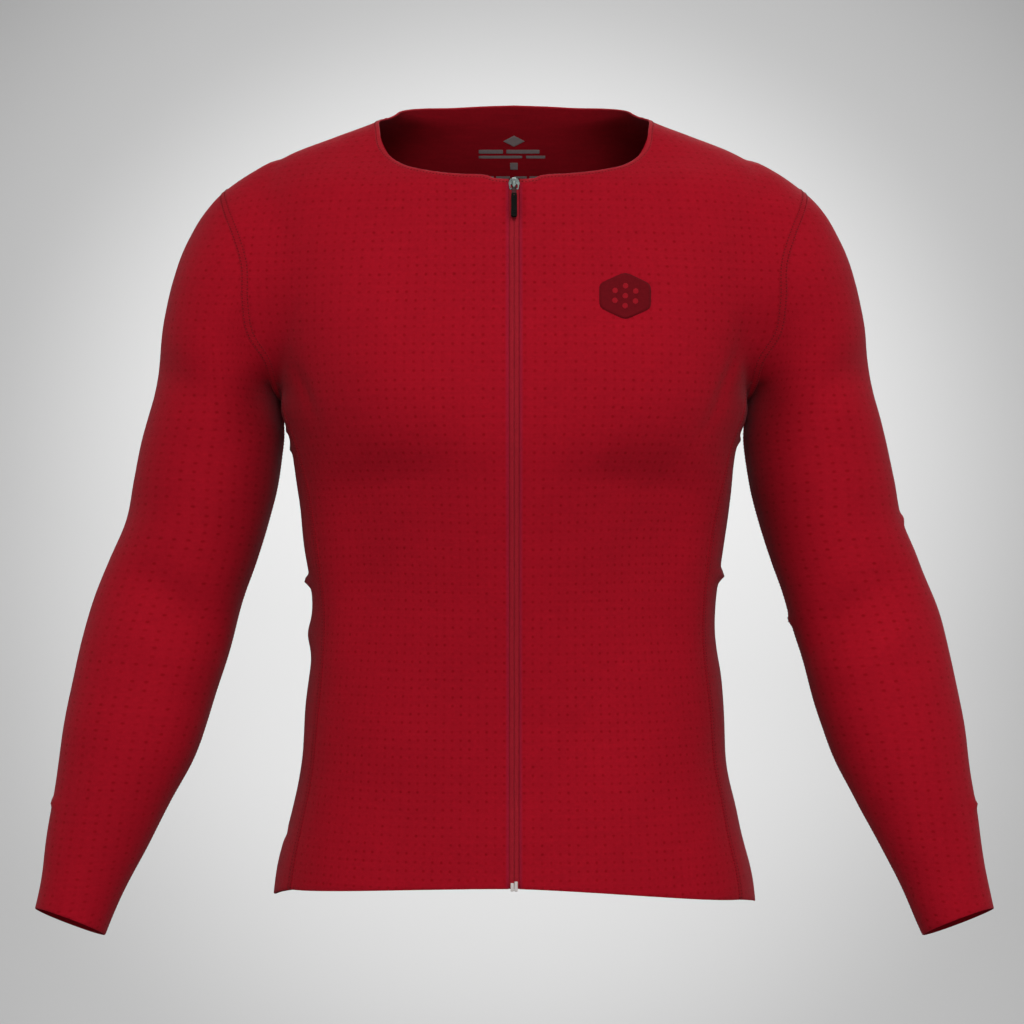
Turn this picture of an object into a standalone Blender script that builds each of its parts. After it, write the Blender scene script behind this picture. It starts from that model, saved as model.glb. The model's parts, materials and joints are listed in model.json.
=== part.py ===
"""Long-sleeve cycling jersey, empty, in the rounded shape that it has when worn.

Metres, +Z up, the front towards -Y and the wearer's left towards +X. The origin lies midway between
the two points where the neckline meets the shoulder seams, at the height of those points.

Every panel is cut from one closed form, the outside of the worn jersey. Seams are short rows of guide
points, drawn onto the form. A panel is a grid between its seams, drawn onto the form and given a
wall. Neighbours share the points of their seam, and each steps back from it by half the gap.
"""

import math

import bmesh
import bpy
import numpy as np

WALL = 0.0012  # cloth, with its seam allowances
GAP = 0.0003  # between any two pieces
ZIP_HALF_WIDTH = 0.0040  # from the centre line to a front panel's edge
HEM_DROP_LEFT = 0.0075  # the hem hangs this much lower at the wearer's left

SIDE_ROWS = 10  # rows of a body panel below the armhole
ARMHOLE_ROWS = 8  # and beside it
NECK_COLUMNS = 5
SHOULDER_COLUMNS = 5
SIDE_COLUMNS = 4
CAP_ROWS = 9  # rings of a sleeve above the armpit
ARM_ROWS = 14  # and below it
EVENING_ROUNDS = 12  # how often a panel's grid is evened out

# The body part of the form, as level sections from the hem up: height, half width, front depth, back
# depth, and how square the section is (2 is an ellipse).
BODY = np.array([
    [-0.640, 0.1820, 0.1190, 0.1180, 2.35],
    [-0.600, 0.1815, 0.1170, 0.1160, 2.35],
    [-0.560, 0.1770, 0.1130, 0.1090, 2.35],
    [-0.520, 0.1670, 0.1085, 0.1000, 2.35],
    [-0.480, 0.1585, 0.1050, 0.0910, 2.35],
    [-0.440, 0.1562, 0.1035, 0.0860, 2.30],
    [-0.400, 0.1513, 0.1040, 0.0870, 2.30],
    [-0.360, 0.1513, 0.1075, 0.0920, 2.30],
    [-0.320, 0.1568, 0.1130, 0.1000, 2.30],
    [-0.280, 0.1608, 0.1190, 0.1080, 2.30],
    [-0.240, 0.1630, 0.1215, 0.1150, 2.30],
    [-0.210, 0.1712, 0.1200, 0.1180, 2.30],
    [-0.180, 0.1800, 0.1160, 0.1195, 2.30],
    [-0.150, 0.1885, 0.1090, 0.1180, 2.30],
    [-0.120, 0.1960, 0.1010, 0.1140, 2.25],
    [-0.090, 0.2015, 0.0910, 0.1070, 2.20],
    [-0.070, 0.2025, 0.0830, 0.1010, 2.20],
    [-0.055, 0.1970, 0.0760, 0.0955, 2.20],
    [-0.045, 0.1915, 0.0660, 0.0915, 2.20],
    [-0.036, 0.1830, 0.0555, 0.0880, 2.20],
    [-0.026, 0.1652, 0.0460, 0.0840, 2.20],
    [-0.014, 0.1355, 0.0370, 0.0800, 2.20],
    [-0.002, 0.1045, 0.0290, 0.0765, 2.25],
    [0.006, 0.0895, 0.0260, 0.0740, 2.35],
    [0.014, 0.0870, 0.0245, 0.0720, 2.40],
    [0.026, 0.0860, 0.0235, 0.0700, 2.40],
    [0.040, 0.0850, 0.0230, 0.0680, 2.40],
])

# The wearer's left arm part, as level sections from the cuff up: height, centre x and y, half width
# and half depth. The other arm is its mirror image.
ARM = np.array([
    [-0.640, 0.3390, -0.0590, 0.0270, 0.0290],
    [-0.600, 0.3262, -0.0490, 0.0283, 0.0298],
    [-0.565, 0.3153, -0.0410, 0.0322, 0.0325],
    [-0.536, 0.3062, -0.0350, 0.0378, 0.0372],
    [-0.507, 0.2969, -0.0290, 0.0436, 0.0420],
    [-0.478, 0.2877, -0.0228, 0.0494, 0.0470],
    [-0.449, 0.2808, -0.0165, 0.0530, 0.0505],
    [-0.419, 0.2741, -0.0100, 0.0545, 0.0520],
    [-0.390, 0.2673, -0.0040, 0.0559, 0.0525],
    [-0.360, 0.2593, 0.0020, 0.0558, 0.0530],
    [-0.330, 0.2487, 0.0070, 0.0552, 0.0540],
    [-0.300, 0.2382, 0.0100, 0.0538, 0.0560],
    [-0.270, 0.2320, 0.0110, 0.0540, 0.0575],
    [-0.240, 0.2285, 0.0120, 0.0513, 0.0580],
    [-0.225, 0.2272, 0.0120, 0.0486, 0.0585],
    [-0.210, 0.2248, 0.0120, 0.0470, 0.0590],
    [-0.180, 0.2163, 0.0110, 0.0508, 0.0605],
    [-0.150, 0.2120, 0.0100, 0.0510, 0.0610],
    [-0.120, 0.2065, 0.0090, 0.0495, 0.0590],
    [-0.090, 0.1997, 0.0080, 0.0442, 0.0510],
    [-0.070, 0.1945, 0.0070, 0.0370, 0.0420],
    [-0.056, 0.1912, 0.0060, 0.0275, 0.0300],
    [-0.044, 0.1862, 0.0060, 0.0155, 0.0180],
    [-0.034, 0.1795, 0.0060, 0.0030, 0.0060],
])

# How far body and arm flow into each other: height and reach. It is least in the armpit.
BLEND = np.array([
    [-0.260, 0.003],
    [-0.225, 0.004],
    [-0.208, 0.010],
    [-0.190, 0.020],
    [-0.160, 0.032],
    [-0.120, 0.034],
    [-0.070, 0.020],
    [-0.030, 0.012],
])

# Seams on the wearer's left, as guide points x, y, z. Each is drawn onto the form.
NECK_POINT = (0.0957, 0.0060, 0.0023)
SHOULDER_POINT = (0.2155, 0.0080, -0.0520)
UNDERARM_FRONT = (0.1778, -0.0230, -0.1975)
UNDERARM_BACK = (0.1746, 0.0380, -0.1985)
HEM_CENTRE = -0.5607  # height of the front hem at the zip

NECKLINE_FRONT = [
    (ZIP_HALF_WIDTH, -0.0740, -0.0546),
    (0.0125, -0.0735, -0.0540),
    (0.0200, -0.0730, -0.0505),
    (0.0420, -0.0705, -0.0487),
    (0.0645, -0.0610, -0.0455),
    (0.0803, -0.0500, -0.0365),
    (0.0919, -0.0380, -0.0272),
    (0.0985, -0.0190, -0.0141),
    NECK_POINT,
]
NECKLINE_BACK = [
    (0.0000, 0.0705, 0.0213),
    (0.0256, 0.0700, 0.0204),
    (0.0488, 0.0640, 0.0183),
    (0.0693, 0.0500, 0.0154),
    (0.0803, 0.0360, 0.0114),
    (0.0858, 0.0240, 0.0062),
    NECK_POINT,
]
SHOULDER = [
    NECK_POINT,
    (0.1350, 0.0070, -0.0115),
    (0.1750, 0.0080, -0.0280),
    SHOULDER_POINT,
]
ARMHOLE_FRONT = [
    UNDERARM_FRONT,
    (0.1800, -0.0350, -0.1900),
    (0.1825, -0.0450, -0.1805),
    (0.1880, -0.0540, -0.1720),
    (0.1925, -0.0600, -0.1600),
    (0.1945, -0.0650, -0.1370),
    (0.1975, -0.0560, -0.1100),
    (0.2080, -0.0340, -0.0790),
    SHOULDER_POINT,
]
ARMHOLE_BACK = [
    UNDERARM_BACK,
    (0.1746, 0.0500, -0.1900),
    (0.1765, 0.0600, -0.1780),
    (0.1830, 0.0700, -0.1600),
    (0.1890, 0.0740, -0.1400),
    (0.1960, 0.0700, -0.1050),
    (0.2060, 0.0430, -0.0720),
    SHOULDER_POINT,
]
UNDERARM = [
    UNDERARM_FRONT,
    (0.1755, 0.0080, -0.2060),
    UNDERARM_BACK,
]
SIDE_SEAM_FRONT = [
    (0.1616, -0.0520, -0.5696),
    (0.1560, -0.0530, -0.5300),
    (0.1450, -0.0520, -0.4800),
    (0.1385, -0.0510, -0.4200),
    (0.1375, -0.0510, -0.3800),
    (0.1410, -0.0500, -0.3300),
    (0.1540, -0.0450, -0.2600),
    UNDERARM_FRONT,
]
SIDE_SEAM_BACK = [
    (0.1630, 0.0560, -0.5845),
    (0.1530, 0.0550, -0.5300),
    (0.1440, 0.0530, -0.4700),
    (0.1385, 0.0520, -0.4000),
    (0.1430, 0.0530, -0.3200),
    (0.1550, 0.0510, -0.2600),
    UNDERARM_BACK,
]
HEM_SIDE = (0.1763, 0.0000, -0.5805)
HEM_BACK_CENTRE = -0.5900

# Cuff: centre, and how its plane leans. The sleeve's rings turn into this plane.
CUFF_CENTRE = (0.3255, -0.0495, -0.5930)
CUFF_SIDE_SLOPE = 0.375  # its inner edge is lower than its outer edge
CUFF_FRONT_SLOPE = 0.218  # its back edge is lower than its front edge
# Rings that a sleeve passes through: height on the arm's centre line, and how much of the cuff's lean.
SLEEVE_RINGS = [(-0.245, 0.15), (-0.300, 0.45), (-0.370, 0.75), (-0.450, 0.95), (-0.530, 1.00)]

POCKET_TOP = 6  # rows of the back panel that the pocket covers
POCKET_SIDE = 1  # columns of the back panel left bare at each side of it
POCKET_WALL = 0.0010

# The zip's tapes lie behind the front panels, and its coil behind the tapes.
TAPE_HALF_WIDTH = 0.0080
TAPE_WALL = 0.0010
COIL_HALF_WIDTH = 0.0024
COIL_WALL = 0.0014
ZIP_DEPTH = WALL + 2 * GAP + TAPE_WALL + GAP + COIL_WALL  # from a panel's outside to the coil's back

# The slider: a face plate before the cloth and a back plate behind the coil, joined by a post that
# passes over the ends of the tapes, and an arch on the face plate that carries the pull tab.
PIVOT_BELOW_NECKLINE = 0.0063
PIVOT_OVER_FACE = 0.0009
SLIDER_TOP = 0.0080  # above the pivot
SLIDER_WALL = 0.0013
# Half of the face plate's outline: distance below the slider's top, and half width.
FACE_OUTLINE = [(0.0, 0.0014), (0.0018, 0.0031), (0.0044, 0.0041), (0.0070, 0.0039), (0.0102, 0.0034)]
BACK_HALF_WIDTH = 0.0033
BACK_LENGTH = 0.0088
POST_HALF_WIDTH = 0.0010
POST_LENGTH = 0.0013
ARCH_HALF_WIDTH = 0.0008
# The arch from its upper foot to its lower one: height over the pivot, and how far out from it.
ARCH_OUTSIDE = [(0.0060, -0.0012), (0.0060, 0.0009), (0.0050, 0.0017), (-0.0007, 0.0017), (-0.0016, 0.0008),
                (-0.0016, -0.0012)]
ARCH_INSIDE = [(-0.00095, -0.0012), (-0.00095, 0.00095), (0.0046, 0.00095), (0.0046, -0.0012)]

# The pull tab: a bar on the pivot, two arms beside the arch, and a thicker grip below them.
TAB_HALF_WIDTH = 0.0022
TAB_EYE_HALF_WIDTH = 0.0011
TAB_EYE_TOP = 0.00045  # below the pivot
TAB_EYE_END = 0.0035
BAR_RADIUS = 0.0006
GRIP_FRONT = 0.0007
GRIP_BACK = 0.0018
GRIP_END = 0.0258
GRIP_CORNER = 0.0014

# The end stops of the zip at the hem: from and to across, and how far up; both reach below the hem.
STOPS = {"zip_box": (-0.0025, -0.00015, 0.0041), "zip_pin": (0.00015, 0.0026, 0.0052)}
STOP_BELOW_HEM = 0.0018
STOP_PROUD = 0.0006

CLOTH_RED = (0.30, 0.008, 0.014)
ZIP_RED = (0.23, 0.012, 0.020)
NICKEL = (0.62, 0.61, 0.60)
TAB_BLACK = (0.030, 0.018, 0.020)
STOP_WHITE = (0.62, 0.58, 0.56)


# ---------------------------------------------------------------- the form

def along_rows(table, at):
    """The other columns of a table, read smoothly where its first column is `at`."""
    knots, values = table[:, 0], table[:, 1:]
    slopes = np.gradient(values, knots, axis=0)
    at = np.clip(at, knots[0], knots[-1])
    row = np.clip(np.searchsorted(knots, at) - 1, 0, len(knots) - 2)
    step = (knots[row + 1] - knots[row])[..., None]
    t = (at - knots[row])[..., None] / step
    start = values[row] * (1 + 2 * t) * (1 - t) ** 2 + slopes[row] * step * t * (1 - t) ** 2
    end = values[row + 1] * t**2 * (3 - 2 * t) + slopes[row + 1] * step * t**2 * (t - 1)
    return np.moveaxis(start + end, -1, 0)


def form(points, only=None):
    """Below 0 inside the worn jersey, 0 on its outside, and roughly the distance from it outside.
    Below the armpits, where body and arm hang side by side, `only` leaves out the other one."""
    x, y, z = np.abs(points[..., 0]), points[..., 1], points[..., 2]
    half_width, front, back, square = along_rows(BODY, z)
    depth = np.where(y < 0, front, back)
    reach = ((x / half_width) ** square + (np.abs(y) / depth) ** square) ** (1 / square)
    body = (reach - 1) * np.minimum(half_width, depth)
    centre_x, centre_y, half_x, half_y = along_rows(ARM, z)
    reach = np.hypot((x - centre_x) / half_x, (y - centre_y) / half_y)
    above = np.maximum(z - ARM[-1, 0], 0)
    arm = (reach - 1) * np.minimum(half_x, half_y) + above
    below = 6 * np.maximum(UNDERARM_FRONT[2] - z, 0)
    if only == "body":
        arm = arm + below
    if only == "arm":
        body = body + below
    blend = along_rows(BLEND, z)[0]
    shared = np.maximum(blend - np.abs(body - arm), 0)
    return np.minimum(body, arm) - shared**2 / (4 * blend)


def uphill(points, only=None):
    """The direction and steepness in which form rises fastest."""
    step = 2e-5
    rises = [form(points + way, only) - form(points - way, only) for way in np.eye(3) * step]
    return np.stack(rises, -1) / (2 * step)


def settle(points, only=None, turns=14):
    """The points, drawn onto the form."""
    for _ in range(turns):
        rise = uphill(points, only)
        steep = np.maximum((rise**2).sum(-1, keepdims=True), 0.1)
        move = form(points, only)[..., None] * rise / steep
        far = np.linalg.norm(move, axis=-1, keepdims=True)
        points = points - move * np.minimum(1, 0.012 / np.maximum(far, 1e-9))
    return points


def outward(points):
    rise = uphill(points)
    return rise / np.linalg.norm(rise, axis=-1, keepdims=True)


def even_points(curve, count):
    """count + 1 points at equal distances along a smooth curve through the given ones."""
    for _ in range(2):
        lengths = np.linalg.norm(np.diff(curve, axis=0), axis=1)
        travelled = np.concatenate([[0], np.cumsum(lengths)])
        fine = np.linspace(0, travelled[-1], 40 * count + 1)
        curve = along_rows(np.column_stack([travelled, curve]), fine).T
    lengths = np.linalg.norm(np.diff(curve, axis=0), axis=1)
    travelled = np.concatenate([[0], np.cumsum(lengths)])
    wanted = np.linspace(0, travelled[-1], count + 1)
    return np.column_stack([np.interp(wanted, travelled, axis) for axis in curve.T])


def seam(guide, count):
    """A seam's points: the guide points drawn onto the form, and spaced evenly along it."""
    points = settle(np.array(guide, float))
    return settle(even_points(settle(even_points(points, 4 * count)), count))


def patch(bottom, top, left, right):
    """The grid between four edges. Rows run from bottom to top, columns from left to right."""
    u = np.linspace(0, 1, len(bottom))[None, :, None]
    v = np.linspace(0, 1, len(left))[:, None, None]
    across = (1 - u) * left[:, None] + u * right[:, None]
    up = (1 - v) * bottom[None] + v * top[None]
    corners = (1 - v) * ((1 - u) * bottom[0] + u * bottom[-1]) + v * ((1 - u) * top[0] + u * top[-1])
    grid = across + up - corners
    for _ in range(EVENING_ROUNDS):
        grid = settle(grid, "body", 3)
        grid[0], grid[-1], grid[:, 0], grid[:, -1] = bottom, top, left, right
        around = grid[:-2, 1:-1] + grid[2:, 1:-1] + grid[1:-1, :-2] + grid[1:-1, 2:]
        grid[1:-1, 1:-1] += 0.5 * (around / 4 - grid[1:-1, 1:-1])
    grid[1:-1, 1:-1] = settle(grid[1:-1, 1:-1], "body")
    return grid


# ---------------------------------------------------------------- the panels of one half

def on_body(x, z, front):
    """Points of the form's body part at these places across and up, on its front or its back."""
    half_width, front_depth, back_depth, square = along_rows(BODY, z)
    depth = -front_depth if front else back_depth
    return np.column_stack([x, depth * (1 - (x / half_width) ** square) ** (1 / square), z])


def centre_line(x, low, high, front):
    """Points up the front or back at x, with the armpits' height between its two stretches."""
    stretches = []
    armpit = UNDERARM_FRONT[2]
    for start, end, count in ((low, armpit, SIDE_ROWS), (armpit, high, ARMHOLE_ROWS)):
        z = np.linspace(start, end, 8 * count + 1)
        stretches.append(even_points(on_body(x + 0 * z, z, front), count))
    return np.vstack([stretches[0], stretches[1][1:]])


def sleeve_grid(armhole):
    """Rows of a sleeve from the armhole ring to the cuff, through level and then leaning rings."""
    lengths = np.linalg.norm(np.diff(armhole, axis=0), axis=1)
    turn = 2 * math.pi * np.concatenate([[0], np.cumsum(lengths)]) / lengths.sum()
    rings = [armhole]
    cuff = np.array(CUFF_CENTRE)
    for height, lean in SLEEVE_RINGS + [(cuff[2], 1.0)]:
        centre_x, centre_y, half_x, half_y = along_rows(ARM, np.array(height))
        out = np.cos(turn) * half_x
        back = -np.sin(turn) * half_y
        up = lean * (CUFF_SIDE_SLOPE * out - CUFF_FRONT_SLOPE * back)
        rings.append(np.column_stack([centre_x + out, centre_y + back, height + up]))
    rings = np.array(rings)
    levels = np.arange(len(rings), dtype=float)
    rows = np.concatenate([np.linspace(0, 1, CAP_ROWS + 1), np.linspace(1, levels[-1], ARM_ROWS + 1)[1:]])
    table = np.column_stack([levels, rings.reshape(len(rings), -1)])
    grid = along_rows(table, rows).T.reshape(len(rows), -1, 3)
    for _ in range(2):
        grid[1:] = settle(grid[1:], "arm")
        ring = np.array(CUFF_CENTRE)
        lean = grid[-1] - ring
        grid[-1, :, 2] = ring[2] + CUFF_SIDE_SLOPE * lean[:, 0] - CUFF_FRONT_SLOPE * lean[:, 1]
    grid[:, -1] = grid[:, 0]
    return grid


def hem_line(start, height, end, hem_drop, front):
    """Half of a hem, from x = start at this height to its end at the side seam."""
    share = np.linspace(0, 1, 40)
    x = start + share * (end[0] - start)
    z = height + share**2 * (end[2] + hem_drop - height) - hem_drop * share**1.1
    line = even_points(on_body(x, z, front), NECK_COLUMNS + SHOULDER_COLUMNS)
    line[-1] = end
    return line


def half_garment(hem_drop):
    """The outside points of the panels on the wearer's left, with its hem that much lower, and the
    edges of its half of the back: hem, side and top."""
    shoulder = seam(SHOULDER, SHOULDER_COLUMNS)
    armhole_front = seam(ARMHOLE_FRONT, ARMHOLE_ROWS)
    armhole_back = seam(ARMHOLE_BACK, ARMHOLE_ROWS)
    underarm = seam(UNDERARM, SIDE_COLUMNS)
    drop = np.array([0, 0, -hem_drop])
    front_side = seam([SIDE_SEAM_FRONT[0] + drop] + SIDE_SEAM_FRONT[1:], SIDE_ROWS)
    back_side = seam([SIDE_SEAM_BACK[0] + 0.5 * drop] + SIDE_SEAM_BACK[1:], SIDE_ROWS)

    middle = centre_line(ZIP_HALF_WIDTH, HEM_CENTRE, NECKLINE_FRONT[0][2], True)
    neck_front = seam(NECKLINE_FRONT, NECK_COLUMNS)
    neck_front[0] = middle[-1]
    hem_side = seam([front_side[0], HEM_SIDE + 0.7 * drop, back_side[0]], SIDE_COLUMNS)
    hem_side[0], hem_side[-1] = front_side[0], back_side[0]

    neck_back = seam(NECKLINE_BACK, NECK_COLUMNS)
    around = np.vstack([armhole_front[::-1], underarm[1:], armhole_back[1:]])
    return {
        "front": patch(
            hem_line(ZIP_HALF_WIDTH, HEM_CENTRE, front_side[0], hem_drop, True),
            np.vstack([neck_front, shoulder[1:]]),
            middle,
            np.vstack([front_side, armhole_front[1:]]),
        ),
        "back_edges": (
            hem_line(0.0, HEM_BACK_CENTRE, back_side[0], 0.5 * hem_drop, False),
            np.vstack([back_side, armhole_back[1:]]),
            np.vstack([neck_back, shoulder[1:]]),
        ),
        "side": patch(hem_side, underarm, front_side, back_side),
        "sleeve": sleeve_grid(around),
    }


# ---------------------------------------------------------------- solids

def step_back(grid, normals, edges):
    """Moves a grid's sewn edges in by half the gap, along the cloth. edges is any of the letters
    b, t, l and r, for bottom, top, left and right."""
    moved = grid.copy()
    sides = {
        "b": (np.s_[0], np.s_[1]),
        "t": (np.s_[-1], np.s_[-2]),
        "l": (np.s_[:, 0], np.s_[:, 1]),
        "r": (np.s_[:, -1], np.s_[:, -2]),
    }
    for edge in edges:
        rim, inside = sides[edge]
        way = grid[inside] - grid[rim]
        way -= normals[rim] * (way * normals[rim]).sum(-1, keepdims=True)
        moved[rim] += 0.5 * GAP * way / np.linalg.norm(way, axis=-1, keepdims=True)
    return moved


def add_material(mesh, name, colour, roughness, metallic=0.0):
    material = bpy.data.materials.new(name)
    material.use_nodes = True
    shader = material.node_tree.nodes["Principled BSDF"]
    shader.inputs["Base Color"].default_value = (*colour, 1)
    shader.inputs["Roughness"].default_value = roughness
    shader.inputs["Metallic"].default_value = metallic
    mesh.materials.append(material)


def add_object(name, bm, colour, roughness, metallic=0.0, smooth=True):
    bmesh.ops.recalc_face_normals(bm, faces=bm.faces)
    mesh = bpy.data.meshes.new(name)
    bm.to_mesh(mesh)
    bm.free()
    if smooth:
        mesh.shade_smooth()
        mesh.set_sharp_from_angle(angle=math.radians(40))
    add_material(mesh, name, colour, roughness, metallic)
    piece = bpy.data.objects.new(name, mesh)
    bpy.context.scene.collection.objects.link(piece)
    return piece


def walled(outer, inner, ring):
    """A closed body between two grids. A ring's last column is its first one again."""
    rows, columns = outer.shape[0], outer.shape[1] - int(ring)
    bm = bmesh.new()
    sheets = [[[bm.verts.new(p) for p in row[:columns]] for row in sheet] for sheet in (outer, inner)]
    last = columns if ring else columns - 1

    def quad(a, b, c, d):
        bm.faces.new((a, b, c, d))

    for sheet in sheets:
        for i in range(rows - 1):
            for j in range(last):
                k = (j + 1) % columns
                quad(sheet[i][j], sheet[i][k], sheet[i + 1][k], sheet[i + 1][j])
    for i in (0, rows - 1):
        for j in range(last):
            k = (j + 1) % columns
            quad(sheets[0][i][j], sheets[0][i][k], sheets[1][i][k], sheets[1][i][j])
    if not ring:
        for i in range(rows - 1):
            for j in (0, columns - 1):
                quad(sheets[0][i][j], sheets[0][i + 1][j], sheets[1][i + 1][j], sheets[1][i][j])
    return bm


def add_cloth(name, grid, edges, ring=False, rise=0.0, wall=WALL, colour=CLOTH_RED):
    """A cloth piece: the grid stepped back at its sewn edges, raised by `rise`, with its wall inward."""
    normals = outward(grid)
    outer = step_back(grid, normals, edges) + rise * normals
    return add_object(name, walled(outer, outer - wall * normals, ring), colour, 0.85)


def mirrored(grid):
    return grid * (-1, 1, 1)


def add_panels():
    """All sewn panels. Returns the two front grids, for the zip."""
    left, right = half_garment(HEM_DROP_LEFT), half_garment(0.0)
    right_back = [mirrored(edge) for edge in right.pop("back_edges")]
    right = {name: mirrored(grid) for name, grid in right.items()}
    for side, half in (("left", left), ("right", right)):
        add_cloth(f"front_{side}", half["front"], "tr")
        add_cloth(f"side_{side}", half["side"], "tlr")
        add_cloth(f"sleeve_{side}", half["sleeve"], "b", ring=True)
    hem, side, top = left["back_edges"]
    whole_hem = np.vstack([right_back[0][:0:-1], hem])
    whole_top = np.vstack([right_back[2][:0:-1], top])
    back = patch(whole_hem, whole_top, right_back[1], side)
    add_cloth("back", back, "tlr")
    pocket = back[: POCKET_TOP + 1, POCKET_SIDE : back.shape[1] - POCKET_SIDE]
    add_cloth("pocket_back", pocket, "", rise=GAP + POCKET_WALL, wall=POCKET_WALL)
    return left["front"], right["front"]


# ---------------------------------------------------------------- the zip

def strip(front, from_x, to_x):
    """Two columns of points beside a front panel's edge, on the flat facets of its first column."""
    edge, inside = front[:, 0], front[:, 1]
    columns = []
    for x in (from_x, to_x):
        share = (x - np.abs(edge[:, 0])) / (np.abs(inside[:, 0]) - np.abs(edge[:, 0]))
        share = np.maximum(share, 0)[:, None]
        point = edge + share * (inside - edge)
        point[:, 0] = x * np.sign(edge[:, 0])
        columns.append(point)
    return np.stack(columns, axis=1)


def add_zip(left_front, right_front):
    left_inside = left_front - WALL * outward(left_front)
    right_inside = right_front - WALL * outward(right_front)
    for side, inside in (("left", left_inside), ("right", right_inside)):
        tape = strip(inside, 0.5 * GAP, TAPE_HALF_WIDTH)
        add_cloth(f"zip_tape_{side}", tape, "", rise=-2 * GAP, wall=TAPE_WALL, colour=ZIP_RED)
    depth = 2 * GAP + TAPE_WALL + GAP
    coil = strip(left_inside, 0.5 * GAP, COIL_HALF_WIDTH)
    coil[:, 0] = mirrored(coil[:, 1])
    add_cloth("zip_coil", coil, "", rise=-depth, wall=COIL_WALL, colour=ZIP_RED)


def prism(name, outline, along_x, low, high, colour, roughness, metallic):
    """An outline extruded from low to high. It lies in the y-z plane if the extrusion runs along x,
    and otherwise in the x-z plane, extruded along y."""
    bm = bmesh.new()
    corners = [(low, a, b) if along_x else (a, low, b) for a, b in outline]
    face = bm.faces.new([bm.verts.new(corner) for corner in corners])
    grown = bmesh.ops.extrude_face_region(bm, geom=[face])["geom"]
    moved = [item for item in grown if isinstance(item, bmesh.types.BMVert)]
    way = (high - low, 0, 0) if along_x else (0, high - low, 0)
    bmesh.ops.translate(bm, verts=moved, vec=way)
    return add_object(name, bm, colour, roughness, metallic, smooth=False)


def combine(piece, helper, operation):
    """Joins a helper to a piece, or cuts it away. The helper shares the piece's frame."""
    helper.parent = piece
    helper.hide_render = True
    helper.display_type = "WIRE"
    change = piece.modifiers.new(helper.name, "BOOLEAN")
    change.solver = "EXACT"
    change.operation = operation
    change.object = helper


def place(piece, low, high, up, out):
    """Puts a piece on the centre line, on the facet of the front between two of its edge points: `up`
    from the lower one and `out` from the cloth, leaning as the facet does. Its own -y is then out."""
    run = (high - low)[1:]
    run /= np.linalg.norm(run)
    y, z = low[1:] + up * run + out * np.array([-run[1], run[0]])
    piece.location = (0, y, z)
    piece.rotation_euler = (math.atan2(-run[0], run[1]), 0, 0)


def add_slider(front):
    metal = (NICKEL, 0.28, 1.0)
    right_side = [(width, SLIDER_TOP - down) for down, width in FACE_OUTLINE]
    outline = right_side + [(-width, up) for width, up in reversed(right_side)]
    back_of_face = PIVOT_OVER_FACE + SLIDER_WALL
    slider = prism("zip_slider", outline, False, PIVOT_OVER_FACE, back_of_face, *metal)
    back = back_of_face + GAP + ZIP_DEPTH + GAP
    overlap = 0.5 * SLIDER_WALL

    def slab(half_width, length):
        bottom = SLIDER_TOP - length
        return [(-half_width, bottom), (half_width, bottom), (half_width, SLIDER_TOP), (-half_width, SLIDER_TOP)]

    back_plate = prism("slider_back", slab(BACK_HALF_WIDTH, BACK_LENGTH), False, back, back + SLIDER_WALL, *metal)
    post = prism(
        "slider_post", slab(POST_HALF_WIDTH, POST_LENGTH), False, back_of_face - overlap, back + overlap, *metal
    )
    profile = [(-out, up) for up, out in ARCH_OUTSIDE + ARCH_INSIDE]
    arch = prism("slider_arch", profile, True, -ARCH_HALF_WIDTH, ARCH_HALF_WIDTH, *metal)
    for helper in (post, back_plate, arch):
        combine(slider, helper, "UNION")
    return slider


def add_pull_tab():
    black = (TAB_BLACK, 0.55, 0.0)
    turn = [math.radians(step * 22.5) for step in range(9)]
    round_top = [(BAR_RADIUS * math.cos(angle), BAR_RADIUS * math.sin(angle)) for angle in turn]
    low = -TAB_EYE_END - BAR_RADIUS
    profile = round_top + [(-BAR_RADIUS, low), (BAR_RADIUS, low)]
    tab = prism("pull_tab", profile, True, -TAB_HALF_WIDTH, TAB_HALF_WIDTH, *black)
    eye = [(-TAB_EYE_HALF_WIDTH, -TAB_EYE_TOP), (TAB_EYE_HALF_WIDTH, -TAB_EYE_TOP),
           (TAB_EYE_HALF_WIDTH, -TAB_EYE_END), (-TAB_EYE_HALF_WIDTH, -TAB_EYE_END)]
    cutter = prism("tab_eye", eye, False, -2 * BAR_RADIUS, 2 * BAR_RADIUS, *black)
    centre_x = TAB_HALF_WIDTH - GRIP_CORNER
    centre_z = -GRIP_END + GRIP_CORNER
    right_end = [
        (centre_x + GRIP_CORNER * math.cos(angle), centre_z - GRIP_CORNER * math.sin(angle))
        for angle in (math.radians(step * 22.5) for step in range(5))
    ]
    right_side = [(TAB_HALF_WIDTH, -TAB_EYE_END - 0.0002)] + right_end
    outline = right_side + [(-x, z) for x, z in reversed(right_side)]
    grip = prism("tab_grip", outline, False, -GRIP_FRONT, GRIP_BACK, *black)
    combine(tab, cutter, "DIFFERENCE")
    combine(tab, grip, "UNION")
    return tab


def add_hard_pieces(front):
    edge = front[:, 0]
    top = np.linalg.norm((edge[-1] - edge[-2])[1:])
    over_cloth = GAP + SLIDER_WALL + PIVOT_OVER_FACE
    for piece in (add_slider(front), add_pull_tab()):
        place(piece, edge[-2], edge[-1], top - PIVOT_BELOW_NECKLINE, over_cloth)
    for name, (from_x, to_x, up) in STOPS.items():
        outline = [(from_x, -STOP_BELOW_HEM), (to_x, -STOP_BELOW_HEM), (to_x, up), (from_x, up)]
        stop = prism(name, outline, False, -STOP_PROUD, WALL + GAP, STOP_WHITE, 0.5, 0.0)
        place(stop, edge[0], edge[1], 0.0, 0.0)


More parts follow.
